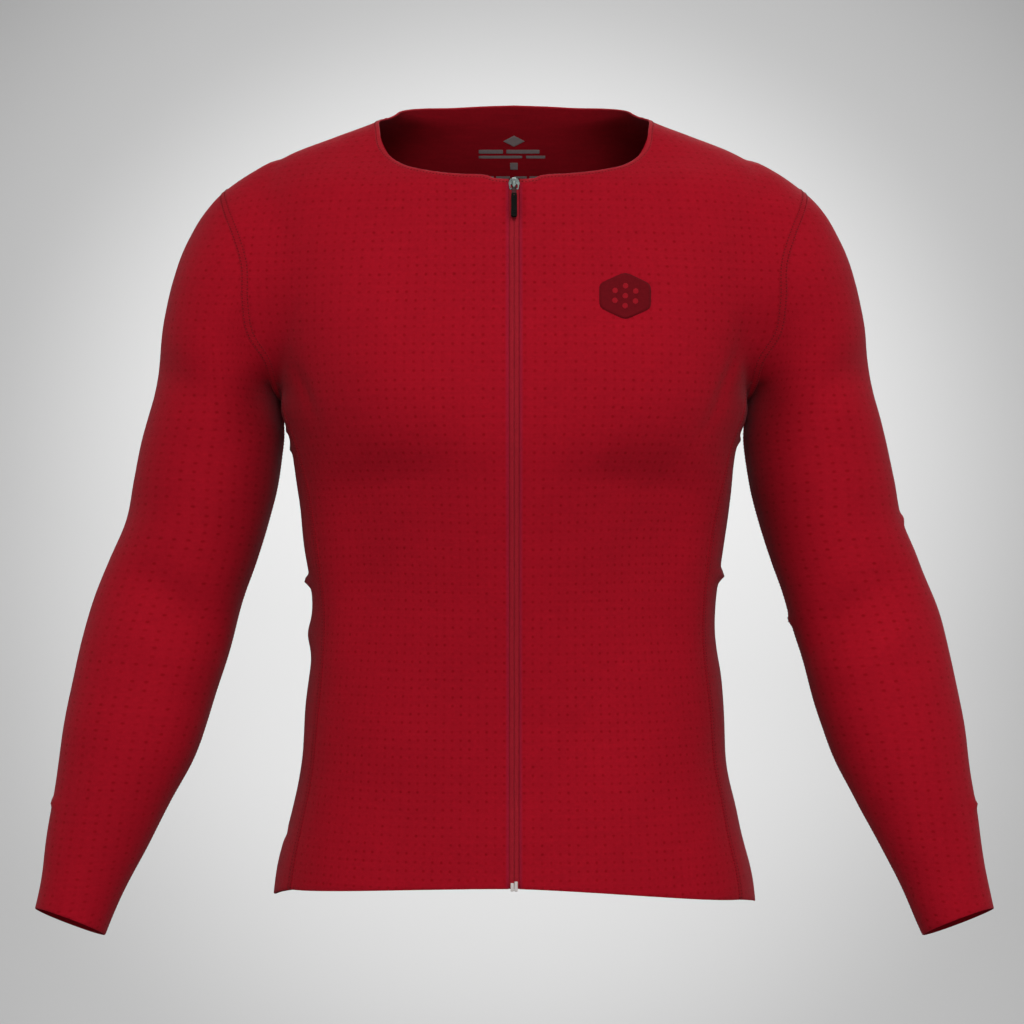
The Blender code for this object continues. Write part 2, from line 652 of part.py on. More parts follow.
def main():
    for piece in list(bpy.data.objects):
        bpy.data.objects.remove(piece)
    left_front, right_front = add_panels()
    add_zip(left_front, right_front)
    add_hard_pieces(left_front)


main()
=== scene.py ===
"""Looks of the long-sleeve cycling jersey, empty in its worn shape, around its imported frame.

Metres, +Z up, the front towards -Y and the wearer's left towards +X. The panels are thin shells on the
same closed form as the solids that they stand for, with their creases. Seams, stitches, zip and prints
are laid on that cloth.
"""

import json
import math
from contextlib import contextmanager

import bmesh
import bpy
import numpy as np
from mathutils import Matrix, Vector


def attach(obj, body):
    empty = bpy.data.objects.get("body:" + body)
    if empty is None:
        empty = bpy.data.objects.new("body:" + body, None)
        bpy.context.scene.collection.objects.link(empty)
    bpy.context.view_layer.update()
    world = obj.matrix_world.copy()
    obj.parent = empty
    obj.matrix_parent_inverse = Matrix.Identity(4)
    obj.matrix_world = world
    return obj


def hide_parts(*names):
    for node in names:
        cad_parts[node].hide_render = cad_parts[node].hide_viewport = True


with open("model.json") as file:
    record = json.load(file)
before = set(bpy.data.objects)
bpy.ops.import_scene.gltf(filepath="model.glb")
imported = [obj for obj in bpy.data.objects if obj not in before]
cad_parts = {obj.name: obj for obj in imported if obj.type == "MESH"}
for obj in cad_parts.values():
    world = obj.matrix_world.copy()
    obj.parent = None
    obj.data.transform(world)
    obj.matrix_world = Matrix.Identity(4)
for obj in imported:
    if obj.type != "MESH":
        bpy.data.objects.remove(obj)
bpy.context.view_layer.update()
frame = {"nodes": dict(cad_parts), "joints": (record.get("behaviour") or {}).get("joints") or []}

CLOTH = 0.0009  # thickness of the knit
GAP = 0.0003  # between two panels at a seam
RIM = 0.0003  # how far the cloth's rounded rim stands out past its edge
ZIP_HALF_WIDTH = 0.0040
HEM_DROP_LEFT = 0.0075  # how much lower the hem hangs on the wearer's left
HEM_DROP_SIDE = 0.7  # shares of that drop below the armpit, and at the back's side seam
HEM_DROP_BACK = 0.5
HEM_DROP_CURVE = 1.1  # how the drop comes on along the hem: at 1 it would be even

# How many steps the panels' first grids have: up a side seam and an armhole, along half a neckline, a
# shoulder seam and the underarm, and down a sleeve's cap and the rest of it.
SIDE_ROWS = 10
ARMHOLE_ROWS = 8
NECK_COLUMNS = 5
SHOULDER_COLUMNS = 5
SIDE_COLUMNS = 4
CAP_ROWS = 9
ARM_ROWS = 14
EVENING_ROUNDS = 12  # rounds in which a panel's grid is evened out
# Fine columns for each of those columns, and fine rows for each of those rows.
FINE_ACROSS = 6
FINE_UP = 12
FINE_UP_SLEEVE = 9

# Pitch of the knit's holes, across and up the cloth, at these heights.
BODY_HOLES = np.array([
    [-0.620, 0.0066, 0.0062],
    [-0.360, 0.0063, 0.0062],
    [-0.200, 0.0072, 0.0065],
    [0.040, 0.0073, 0.0065],
])
LEVEL_ROWS_TOP = -0.100  # up to this height the body's rows of holes lie level
SLEEVE_HOLES = np.array([
    [-0.620, 0.0078, 0.0056],
    [-0.500, 0.0094, 0.0062],
    [-0.360, 0.0104, 0.0064],
    [-0.150, 0.0092, 0.0064],
    [-0.030, 0.0086, 0.0064],
])

# The body part of the form, as level sections from the hem up: height, half width, front depth, back
# depth, and how square the section is (2 is an ellipse).
BODY = np.array([
    [-0.640, 0.1820, 0.1190, 0.1180, 2.35],
    [-0.600, 0.1815, 0.1170, 0.1160, 2.35],
    [-0.560, 0.1770, 0.1130, 0.1090, 2.35],
    [-0.520, 0.1670, 0.1085, 0.1000, 2.35],
    [-0.480, 0.1585, 0.1050, 0.0910, 2.35],
    [-0.440, 0.1562, 0.1035, 0.0860, 2.30],
    [-0.400, 0.1513, 0.1040, 0.0870, 2.30],
    [-0.360, 0.1513, 0.1075, 0.0920, 2.30],
    [-0.320, 0.1568, 0.1130, 0.1000, 2.30],
    [-0.280, 0.1608, 0.1190, 0.1080, 2.30],
    [-0.240, 0.1630, 0.1215, 0.1150, 2.30],
    [-0.210, 0.1712, 0.1200, 0.1180, 2.30],
    [-0.180, 0.1800, 0.1160, 0.1195, 2.30],
    [-0.150, 0.1885, 0.1090, 0.1180, 2.30],
    [-0.120, 0.1960, 0.1010, 0.1140, 2.25],
    [-0.090, 0.2015, 0.0910, 0.1070, 2.20],
    [-0.070, 0.2025, 0.0830, 0.1010, 2.20],
    [-0.055, 0.1970, 0.0760, 0.0955, 2.20],
    [-0.045, 0.1915, 0.0660, 0.0915, 2.20],
    [-0.036, 0.1830, 0.0555, 0.0880, 2.20],
    [-0.026, 0.1652, 0.0460, 0.0840, 2.20],
    [-0.014, 0.1355, 0.0370, 0.0800, 2.20],
    [-0.002, 0.1045, 0.0290, 0.0765, 2.25],
    [0.006, 0.0895, 0.0260, 0.0740, 2.35],
    [0.014, 0.0870, 0.0245, 0.0720, 2.40],
    [0.026, 0.0860, 0.0235, 0.0700, 2.40],
    [0.040, 0.0850, 0.0230, 0.0680, 2.40],
])

# The wearer's left arm part, as level sections from the cuff up: height, centre x and y, half width
# and half depth. The other arm is its mirror image.
ARM = np.array([
    [-0.640, 0.3390, -0.0590, 0.0270, 0.0290],
    [-0.600, 0.3262, -0.0490, 0.0283, 0.0298],
    [-0.565, 0.3153, -0.0410, 0.0322, 0.0325],
    [-0.536, 0.3062, -0.0350, 0.0378, 0.0372],
    [-0.507, 0.2969, -0.0290, 0.0436, 0.0420],
    [-0.478, 0.2877, -0.0228, 0.0494, 0.0470],
    [-0.449, 0.2808, -0.0165, 0.0530, 0.0505],
    [-0.419, 0.2741, -0.0100, 0.0545, 0.0520],
    [-0.390, 0.2673, -0.0040, 0.0559, 0.0525],
    [-0.360, 0.2593, 0.0020, 0.0558, 0.0530],
    [-0.330, 0.2487, 0.0070, 0.0552, 0.0540],
    [-0.300, 0.2382, 0.0100, 0.0538, 0.0560],
    [-0.270, 0.2320, 0.0110, 0.0540, 0.0575],
    [-0.240, 0.2285, 0.0120, 0.0513, 0.0580],
    [-0.225, 0.2272, 0.0120, 0.0486, 0.0585],
    [-0.210, 0.2248, 0.0120, 0.0470, 0.0590],
    [-0.180, 0.2163, 0.0110, 0.0508, 0.0605],
    [-0.150, 0.2120, 0.0100, 0.0510, 0.0610],
    [-0.120, 0.2065, 0.0090, 0.0495, 0.0590],
    [-0.090, 0.1997, 0.0080, 0.0442, 0.0510],
    [-0.070, 0.1945, 0.0070, 0.0370, 0.0420],
    [-0.056, 0.1912, 0.0060, 0.0275, 0.0300],
    [-0.044, 0.1862, 0.0060, 0.0155, 0.0180],
    [-0.034, 0.1795, 0.0060, 0.0030, 0.0060],
])

BELOW_ARMPIT = 6  # how steeply body and arm are kept apart below the armpits
# How far body and arm flow into each other: height and reach. It is least in the armpit.
BLEND = np.array([
    [-0.260, 0.003],
    [-0.225, 0.004],
    [-0.208, 0.010],
    [-0.190, 0.020],
    [-0.160, 0.032],
    [-0.120, 0.034],
    [-0.070, 0.020],
    [-0.030, 0.012],
])

# Seams on the wearer's left, as guide points x, y, z. Each is drawn onto the form.
NECK_POINT = (0.0957, 0.0060, 0.0023)
SHOULDER_POINT = (0.2155, 0.0080, -0.0520)
UNDERARM_FRONT = (0.1778, -0.0230, -0.1975)
UNDERARM_BACK = (0.1746, 0.0380, -0.1985)
HEM_CENTRE = -0.5607  # height of the front hem at the zip

NECKLINE_FRONT = [
    (ZIP_HALF_WIDTH, -0.0740, -0.0546),
    (0.0090, -0.0738, -0.0546),
    (0.0135, -0.0735, -0.0545),
    (0.0165, -0.0735, -0.0528),
    (0.0195, -0.0730, -0.0500),
    (0.0230, -0.0728, -0.0490),
    (0.0391, -0.0705, -0.0487),
    (0.0653, -0.0635, -0.0457),
    (0.0794, -0.0576, -0.0417),
    (0.0877, -0.0507, -0.0367),
    (0.0962, -0.0390, -0.0271),
    (0.0990, -0.0200, -0.0134),
    (0.0990, -0.0040, -0.0042),
    NECK_POINT,
]
NECKLINE_BACK = [
    (0.0000, 0.0705, 0.0213),
    (0.0256, 0.0700, 0.0204),
    (0.0488, 0.0640, 0.0183),
    (0.0693, 0.0500, 0.0158),
    (0.0800, 0.0370, 0.0131),
    (0.0865, 0.0245, 0.0098),
    (0.0905, 0.0170, 0.0074),
    (0.0934, 0.0110, 0.0050),
    NECK_POINT,
]
SHOULDER = [
    NECK_POINT,
    (0.1350, 0.0070, -0.0115),
    (0.1750, 0.0080, -0.0280),
    SHOULDER_POINT,
]
ARMHOLE_FRONT = [
    UNDERARM_FRONT,
    (0.1800, -0.0350, -0.1900),
    (0.1825, -0.0450, -0.1805),
    (0.1900, -0.0540, -0.1720),
    (0.1950, -0.0595, -0.1600),
    (0.1975, -0.0635, -0.1370),
    (0.1975, -0.0560, -0.1100),
    (0.2080, -0.0340, -0.0790),
    SHOULDER_POINT,
]
ARMHOLE_BACK = [
    UNDERARM_BACK,
    (0.1746, 0.0500, -0.1900),
    (0.1765, 0.0600, -0.1780),
    (0.1830, 0.0700, -0.1600),
    (0.1890, 0.0740, -0.1400),
    (0.1960, 0.0700, -0.1050),
    (0.2060, 0.0430, -0.0720),
    SHOULDER_POINT,
]
UNDERARM = [
    UNDERARM_FRONT,
    (0.1755, 0.0080, -0.2060),
    UNDERARM_BACK,
]
SIDE_SEAM_FRONT = [
    (0.1616, -0.0520, -0.5696),
    (0.1570, -0.0500, -0.5300),
    (0.1470, -0.0465, -0.4800),
    (0.1410, -0.0440, -0.4200),
    (0.1400, -0.0435, -0.3800),
    (0.1435, -0.0435, -0.3300),
    (0.1555, -0.0400, -0.2600),
    UNDERARM_FRONT,
]
SIDE_SEAM_BACK = [
    (0.1630, 0.0560, -0.5845),
    (0.1530, 0.0550, -0.5300),
    (0.1440, 0.0530, -0.4700),
    (0.1385, 0.0520, -0.4000),
    (0.1430, 0.0530, -0.3200),
    (0.1550, 0.0510, -0.2600),
    UNDERARM_BACK,
]
HEM_SIDE = (0.1763, 0.0000, -0.5805)
HEM_BACK_CENTRE = -0.5900

# Cuff: centre, and how its plane leans. The sleeve's rings turn into this plane.
CUFF_CENTRE = (0.3255, -0.0495, -0.5930)
CUFF_SIDE_SLOPE = 0.375  # its inner edge is lower than its outer edge
CUFF_FRONT_SLOPE = 0.280  # its back edge is lower than its front edge
# Rings that a sleeve passes through: height on the arm's centre line, and how much of the cuff's lean.
SLEEVE_RINGS = [(-0.245, 0.15), (-0.300, 0.45), (-0.370, 0.75), (-0.450, 0.95), (-0.530, 1.00)]


# ---------------------------------------------------------------- the form

UPHILL_STEP = 2e-5  # the distance over which the form's slope is measured
LONGEST_MOVE = 0.012  # the furthest that a point moves towards the form in one turn
TURNS = 14  # turns in which points settle on the form
TURNS_NEAR = 6  # and in which they do when they are near it already
CURVE_POINTS = 40  # how finely a curve is followed before even points are taken from it


def along_rows(table, at):
    """The other columns of a table, read smoothly where its first column is `at`."""
    knots, values = table[:, 0], table[:, 1:]
    slopes = np.gradient(values, knots, axis=0)
    at = np.clip(at, knots[0], knots[-1])
    row = np.clip(np.searchsorted(knots, at) - 1, 0, len(knots) - 2)
    step = (knots[row + 1] - knots[row])[..., None]
    t = (at - knots[row])[..., None] / step
    start = values[row] * (1 + 2 * t) * (1 - t) ** 2 + slopes[row] * step * t * (1 - t) ** 2
    end = values[row + 1] * t**2 * (3 - 2 * t) + slopes[row + 1] * step * t**2 * (t - 1)
    return np.moveaxis(start + end, -1, 0)


def form(points, only=None):
    """Below 0 inside the worn jersey, 0 on its outside, and roughly the distance from it outside.
    Below the armpits, where body and arm hang side by side, `only` leaves out the other one."""
    x, y, z = np.abs(points[..., 0]), points[..., 1], points[..., 2]
    half_width, front, back, square = along_rows(BODY, z)
    depth = np.where(y < 0, front, back)
    reach = ((x / half_width) ** square + (np.abs(y) / depth) ** square) ** (1 / square)
    body = (reach - 1) * np.minimum(half_width, depth)
    centre_x, centre_y, half_x, half_y = along_rows(ARM, z)
    reach = np.hypot((x - centre_x) / half_x, (y - centre_y) / half_y)
    above = np.maximum(z - ARM[-1, 0], 0)
    arm = (reach - 1) * np.minimum(half_x, half_y) + above
    below = BELOW_ARMPIT * np.maximum(UNDERARM_FRONT[2] - z, 0)
    if only == "body":
        arm = arm + below
    if only == "arm":
        body = body + below
    blend = along_rows(BLEND, z)[0]
    shared = np.maximum(blend - np.abs(body - arm), 0)
    return np.minimum(body, arm) - shared**2 / (4 * blend)


def uphill(points, only=None):
    """The direction and steepness in which form rises fastest."""
    ways = np.eye(3) * UPHILL_STEP
    rises = [form(points + way, only) - form(points - way, only) for way in ways]
    return np.stack(rises, -1) / (2 * UPHILL_STEP)


def settle(points, only=None, turns=TURNS):
    """The points, drawn onto the form."""
    for _ in range(turns):
        rise = uphill(points, only)
        steep = np.maximum((rise**2).sum(-1, keepdims=True), 0.1)
        move = form(points, only)[..., None] * rise / steep
        far = np.linalg.norm(move, axis=-1, keepdims=True)
        points = points - move * np.minimum(1, LONGEST_MOVE / np.maximum(far, 1e-9))
    return points


def outward(points):
    rise = uphill(points)
    return rise / np.linalg.norm(rise, axis=-1, keepdims=True)


def travel(line):
    """The distance along a line to each of its points."""
    return np.concatenate([[0], np.cumsum(np.linalg.norm(np.diff(line, axis=0), axis=1))])


def at_distances(wanted, travelled, line):
    """The line's points, or what else goes with its points, at these distances along it."""
    return np.column_stack([np.interp(wanted, travelled, axis) for axis in line.T])


def even_points(curve, count):
    """count + 1 points at equal distances along a smooth curve through the given ones."""
    for _ in range(2):
        travelled = travel(curve)
        fine = np.linspace(0, travelled[-1], CURVE_POINTS * count + 1)
        curve = along_rows(np.column_stack([travelled, curve]), fine).T
    travelled = travel(curve)
    return at_distances(np.linspace(0, travelled[-1], count + 1), travelled, curve)


def seam(guide, count):
    """A seam's points: the guide points drawn onto the form, and spaced evenly along it."""
    points = settle(np.array(guide, float))
    return settle(even_points(settle(even_points(points, 4 * count)), count))


def patch(bottom, top, left, right):
    """The grid between four edges. Rows run from bottom to top, columns from left to right."""
    u = np.linspace(0, 1, len(bottom))[None, :, None]
    v = np.linspace(0, 1, len(left))[:, None, None]
    across = (1 - u) * left[:, None] + u * right[:, None]
    up = (1 - v) * bottom[None] + v * top[None]
    corners = (1 - v) * ((1 - u) * bottom[0] + u * bottom[-1]) + v * ((1 - u) * top[0] + u * top[-1])
    grid = across + up - corners
    for _ in range(EVENING_ROUNDS):
        grid = settle(grid, "body", 3)
        grid[0], grid[-1], grid[:, 0], grid[:, -1] = bottom, top, left, right
        around = grid[:-2, 1:-1] + grid[2:, 1:-1] + grid[1:-1, :-2] + grid[1:-1, 2:]
        grid[1:-1, 1:-1] += 0.5 * (around / 4 - grid[1:-1, 1:-1])
    grid[1:-1, 1:-1] = settle(grid[1:-1, 1:-1], "body")
    return grid


# ---------------------------------------------------------------- the panels of one half

def on_body(x, z, front):
    """Points of the form's body part at these places across and up, on its front or its back."""
    half_width, front_depth, back_depth, square = along_rows(BODY, z)
    depth = -front_depth if front else back_depth
    share = np.abs(x) / half_width
    return np.column_stack([x, depth * (1 - share**square) ** (1 / square), z])


def centre_line(x, low, high, front):
    """Points up the front or back at x, with the armpits' height between its two stretches."""
    stretches = []
    armpit = UNDERARM_FRONT[2]
    for start, end, count in ((low, armpit, SIDE_ROWS), (armpit, high, ARMHOLE_ROWS)):
        z = np.linspace(start, end, 8 * count + 1)
        stretches.append(even_points(on_body(x + 0 * z, z, front), count))
    return np.vstack([stretches[0], stretches[1][1:]])


def sleeve_grid(armhole):
    """Rows of a sleeve from the armhole ring to the cuff, through level and then leaning rings."""
    travelled = travel(armhole)
    turn = 2 * math.pi * travelled / travelled[-1]
    rings = [armhole]
    cuff = np.array(CUFF_CENTRE)
    for height, lean in SLEEVE_RINGS + [(cuff[2], 1.0)]:
        centre_x, centre_y, half_x, half_y = along_rows(ARM, np.array(height))
        out = np.cos(turn) * half_x
        back = -np.sin(turn) * half_y
        up = lean * (CUFF_SIDE_SLOPE * out - CUFF_FRONT_SLOPE * back)
        rings.append(np.column_stack([centre_x + out, centre_y + back, height + up]))
    rings = np.array(rings)
    levels = np.arange(len(rings), dtype=float)
    rows = np.concatenate([np.linspace(0, 1, CAP_ROWS + 1), np.linspace(1, levels[-1], ARM_ROWS + 1)[1:]])
    table = np.column_stack([levels, rings.reshape(len(rings), -1)])
    grid = along_rows(table, rows).T.reshape(len(rows), -1, 3)
    for _ in range(2):
        grid[1:] = settle(grid[1:], "arm")
        off = grid[-1] - cuff
        grid[-1, :, 2] = cuff[2] + CUFF_SIDE_SLOPE * off[:, 0] - CUFF_FRONT_SLOPE * off[:, 1]
    grid[:, -1] = grid[:, 0]
    return grid


def hem_line(start, height, end, hem_drop, front):
    """Half of a hem, from x = start at this height to its end at the side seam."""
    share = np.linspace(0, 1, CURVE_POINTS)
    x = start + share * (end[0] - start)
    z = height + share**2 * (end[2] + hem_drop - height) - hem_drop * share**HEM_DROP_CURVE
    line = even_points(on_body(x, z, front), NECK_COLUMNS + SHOULDER_COLUMNS)
    line[-1] = end
    return line


def half_garment(hem_drop):
    """The outside points of the panels on the wearer's left, with its hem that much lower, and the
    edges of its half of the back: hem, side and top."""
    shoulder = seam(SHOULDER, SHOULDER_COLUMNS)
    armhole_front = seam(ARMHOLE_FRONT, ARMHOLE_ROWS)
    armhole_back = seam(ARMHOLE_BACK, ARMHOLE_ROWS)
    underarm = seam(UNDERARM, SIDE_COLUMNS)
    drop = np.array([0, 0, -hem_drop])
    front_side = seam([SIDE_SEAM_FRONT[0] + drop] + SIDE_SEAM_FRONT[1:], SIDE_ROWS)
    back_side = seam([SIDE_SEAM_BACK[0] + HEM_DROP_BACK * drop] + SIDE_SEAM_BACK[1:], SIDE_ROWS)

    middle = centre_line(ZIP_HALF_WIDTH, HEM_CENTRE, NECKLINE_FRONT[0][2], True)
    neck_front = seam(NECKLINE_FRONT, NECK_COLUMNS)
    neck_front[0] = middle[-1]
    hem_side = seam([front_side[0], HEM_SIDE + HEM_DROP_SIDE * drop, back_side[0]], SIDE_COLUMNS)
    hem_side[0], hem_side[-1] = front_side[0], back_side[0]

    neck_back = seam(NECKLINE_BACK, NECK_COLUMNS)
    around = np.vstack([armhole_front[::-1], underarm[1:], armhole_back[1:]])
    return {
        "front": patch(
            hem_line(ZIP_HALF_WIDTH, HEM_CENTRE, front_side[0], hem_drop, True),
            np.vstack([neck_front, shoulder[1:]]),
            middle,
            np.vstack([front_side, armhole_front[1:]]),
        ),
        "back_edges": (
            hem_line(0.0, HEM_BACK_CENTRE, back_side[0], HEM_DROP_BACK * hem_drop, False),
            np.vstack([back_side, armhole_back[1:]]),
            np.vstack([neck_back, shoulder[1:]]),
        ),
        "side": patch(hem_side, underarm, front_side, back_side),
        "sleeve": sleeve_grid(around),
    }


# ---------------------------------------------------------------- creases

# A point of each crease's middle, x, y, z, the way it runs, its length and width, how far it stands out
# (a trough is below 0), and how far it curves aside at its ends, as a share of its half length.
CREASES = np.array([
    # the chest
    [-0.088, -0.110, -0.2080, 1.00, 0, -0.05, 0.190, 0.0320, 0.0026, 0.10],
    [0.088, -0.110, -0.2080, 1.00, 0, 0.05, 0.190, 0.0320, 0.0028, 0.10],
    # down the belly
    [-0.058, -0.105, -0.4000, 0.25, 0, -1.00, 0.220, 0.0200, -0.0008, -0.10],
    [0.066, -0.105, -0.4100, -0.20, 0, -1.00, 0.240, 0.0220, -0.0009, 0.08],
    [0.035, -0.105, -0.4480, 1.00, 0, -0.15, 0.130, 0.0090, -0.0007, 0.10],
    [-0.045, -0.105, -0.5080, 1.00, 0, 0.30, 0.150, 0.0120, -0.0007, 0.15],
    # from the armpits towards the chest
    [-0.163, -0.075, -0.2080, 0.75, 0, -0.80, 0.075, 0.0070, -0.0014, 0.15],
    [0.166, -0.075, -0.2020, -0.75, 0, -0.80, 0.080, 0.0065, -0.0017, 0.15],
    [0.158, -0.080, -0.2270, -0.90, 0, -0.50, 0.070, 0.0060, -0.0009, 0.10],
    # beside the neck, behind the shoulder seams
    [-0.088, 0.020, 0.0100, 0, 1.0, 0.00, 0.054, 0.0080, 0.0019, 0.00],
    [0.088, 0.020, 0.0100, 0, 1.0, 0.00, 0.054, 0.0080, 0.0019, 0.00],
    # across the tops of the shoulders
    [-0.1800, 0.003, -0.0300, 0, 1.0, 0.00, 0.110, 0.0055, -0.0011, 0.00],
    [0.1800, 0.003, -0.0300, 0, 1.0, 0.00, 0.110, 0.0055, -0.0011, 0.00],
    # at the sides, below the armpits
    [-0.170, 0.004, -0.2330, 0, 1.0, 0.05, 0.050, 0.0030, 0.0022, 0.05],
    [-0.168, 0.008, -0.2480, 0, 1.0, -0.10, 0.060, 0.0035, 0.0028, 0.05],
    [0.170, 0.000, -0.2400, 0, 1.0, 0.10, 0.055, 0.0032, 0.0026, 0.05],
    # where sides and sleeves meet, just below the armpits
    [-0.168, -0.012, -0.2150, 0, 1.0, 0.00, 0.090, 0.0090, 0.0024, 0.00],
    [-0.176, 0.012, -0.2140, 0, 1.0, 0.00, 0.080, 0.0090, 0.0024, 0.00],
    [0.168, -0.012, -0.2160, 0, 1.0, 0.00, 0.090, 0.0100, 0.0026, 0.00],
    [0.176, 0.012, -0.2150, 0, 1.0, 0.00, 0.080, 0.0100, 0.0026, 0.00],
    # at the waist
    [-0.155, 0.006, -0.3450, 0, 1.0, 0.10, 0.080, 0.0036, 0.0052, 0.10],
    [-0.153, 0.010, -0.3860, 0, 1.0, -0.06, 0.100, 0.0120, 0.0042, 0.08],
    [0.155, 0.004, -0.3420, 0, 1.0, -0.08, 0.085, 0.0042, 0.0046, 0.10],
    [0.153, 0.012, -0.4120, 0, 1.0, 0.08, 0.110, 0.0220, 0.0024, 0.08],
    [-0.168, 0.000, -0.5330, 0, 1.0, 0.12, 0.050, 0.0036, -0.0024, 0.05],
    # across the back: shoulder blades, waist and above the hem
    [-0.085, 0.112, -0.1450, 0.45, 0, -1.00, 0.130, 0.0200, 0.0016, 0.20],
    [0.085, 0.112, -0.1480, -0.45, 0, -1.00, 0.130, 0.0200, 0.0017, -0.20],
    [0.000, 0.110, -0.2100, 0.00, 0, -1.00, 0.260, 0.0260, -0.0018, 0.00],
    [-0.070, 0.090, -0.3720, 1.00, 0, -0.22, 0.130, 0.0090, -0.0016, 0.18],
    [0.062, 0.090, -0.3860, 1.00, 0, 0.20, 0.150, 0.0100, -0.0019, -0.15],
    [-0.020, 0.088, -0.4120, 1.00, 0, 0.08, 0.110, 0.0075, -0.0011, 0.12],
    [-0.140, 0.060, -0.4000, 0.80, 0.5, 0.35, 0.080, 0.0070, -0.0014, 0.15],
    [0.145, 0.060, -0.3600, -0.80, 0.5, 0.30, 0.085, 0.0075, -0.0014, 0.15],
    # at the back of the armpits
    [-0.168, 0.085, -0.2020, 0.70, 0.2, -0.80, 0.085, 0.0070, -0.0017, 0.18],
    [0.168, 0.085, -0.2060, -0.70, 0.2, -0.80, 0.080, 0.0075, -0.0016, 0.18],
    [-0.155, 0.095, -0.2320, 0.85, 0.2, -0.55, 0.070, 0.0060, -0.0010, 0.12],
    # under the shoulders' caps
    [-0.246, -0.030, -0.1960, 0.75, -0.6, -0.35, 0.120, 0.0160, -0.0036, 0.25],
    [0.246, -0.030, -0.1930, -0.75, -0.6, -0.30, 0.120, 0.0160, -0.0042, 0.25],
    [-0.240, 0.060, -0.2000, -0.80, 0.4, 0.30, 0.100, 0.0150, -0.0016, 0.20],
    [0.240, 0.060, -0.2000, 0.80, 0.4, 0.30, 0.100, 0.0150, -0.0016, 0.20],
    # at the elbows: over the front of the bend
    [-0.246, -0.040, -0.3620, 1.00, -0.2, -0.62, 0.140, 0.0170, -0.0070, 0.15],
    [-0.262, -0.045, -0.3980, 1.00, -0.2, -0.58, 0.120, 0.0150, 0.0022, 0.15],
    [-0.225, -0.035, -0.3820, 1.00, -0.2, -0.50, 0.070, 0.0060, -0.0010, 0.15],
    [0.250, -0.040, -0.3670, -1.00, -0.2, -0.60, 0.140, 0.0175, -0.0078, 0.15],
    [0.266, -0.045, -0.4020, -1.00, -0.2, -0.55, 0.120, 0.0150, 0.0024, 0.15],
    [0.228, -0.035, -0.3880, -1.00, -0.2, -0.50, 0.070, 0.0060, -0.0011, 0.15],
    # along the sleeves
    [-0.304, -0.040, -0.4980, 0.35, 0, 1.00, 0.140, 0.0120, -0.0008, 0.10],
    [0.306, -0.040, -0.4900, -0.30, 0, 1.00, 0.150, 0.0120, -0.0009, 0.10],
    [-0.342, -0.045, -0.5070, 0.30, 1, 0.00, 0.030, 0.0026, 0.0019, 0.00],
    [0.342, -0.045, -0.5080, 0.30, 1, 0.00, 0.030, 0.0026, 0.0018, 0.00],
    [0.290, 0.005, -0.2990, 0.00, 1, 0.20, 0.040, 0.0034, 0.0018, 0.00],
    [0.204, 0.000, -0.3760, 0.00, 1, 0.20, 0.035, 0.0030, 0.0018, 0.00],
    # behind the elbows
    [-0.255, 0.050, -0.3550, 1.00, 0, -0.30, 0.090, 0.0110, 0.0013, -0.20],
    [0.256, 0.050, -0.3580, -1.00, 0, -0.30, 0.090, 0.0110, 0.0013, -0.20],
    [-0.290, 0.030, -0.4500, 0.50, 0, 0.90, 0.110, 0.0110, -0.0010, 0.10],
    [0.288, 0.030, -0.4560, -0.50, 0, 0.90, 0.110, 0.0110, -0.0010, 0.10],
])
# Broad ones, as above, but with a width upwards and, last in the row, one downwards: where the cloth
# falls back under the chest, over the belly and at the sides, and where sleeves and sides bulge towards
# each other below the armpits.
HOLLOWS = np.array([
    [-0.100, -0.100, -0.2780, 1.00, 0, 0.12, 0.240, 0.0290, -0.0118, 0.22, 0.110],
    [0.100, -0.100, -0.2800, 1.00, 0, -0.12, 0.240, 0.0290, -0.0142, 0.22, 0.110],
    [-0.045, -0.105, -0.5000, 1.00, 0, 0.15, 0.230, 0.0350, -0.0038, 0.00, 0.100],
    [-0.118, -0.090, -0.3400, 0, 0, -1.0, 0.260, 0.0450, -0.0042, 0.00, 0.030],
    [0.118, -0.090, -0.3400, 0, 0, 1.0, 0.260, 0.0450, -0.0046, 0.00, 0.030],
    [-0.163, -0.015, -0.2260, 0, -1, 0.00, 0.120, 0.0140, 0.0052, 0.00, 0.044],
    [0.163, -0.015, -0.2290, 0, 1, 0.00, 0.120, 0.0150, 0.0052, 0.00, 0.048],
    [-0.180, 0.015, -0.2260, 0, 1, 0.00, 0.100, 0.0140, 0.0050, 0.00, 0.025],
    [0.180, 0.015, -0.2280, 0, -1, 0.00, 0.100, 0.0140, 0.0046, 0.00, 0.034],
])
ALL_CREASES = np.vstack([np.column_stack([CREASES, CREASES[:, 7]]), HOLLOWS])
CREASE_REACH = 0.022  # how far off its own level a crease still counts, so that it stays on its side
# Long shallow waves that keep the cloth from lying quite even: way and length of each, and its height.
WAVES = np.array([
    [0.9, 0.2, 0.4, 0.061, 0.00016],
    [-0.5, 0.3, 0.8, 0.047, 0.00014],
    [0.3, -0.7, 0.6, 0.083, 0.00020],
    [0.7, 0.5, -0.5, 0.036, 0.00010],
    [0.1, 0.2, 1.0, 0.071, 0.00015],
])


def unit(vectors):
    return vectors / np.maximum(np.linalg.norm(vectors, axis=-1, keepdims=True), 1e-12)


def crease_frames():
    """Middle, way along, way across and way out of each crease, on the form."""
    middle = settle(ALL_CREASES[:, :3])
    out = outward(middle)
    along = ALL_CREASES[:, 3:6]
    along = unit(along - out * (along * out).sum(-1, keepdims=True))
    return np.stack([middle, along, np.cross(out, along), out], axis=1)


CREASE_FRAMES = crease_frames()


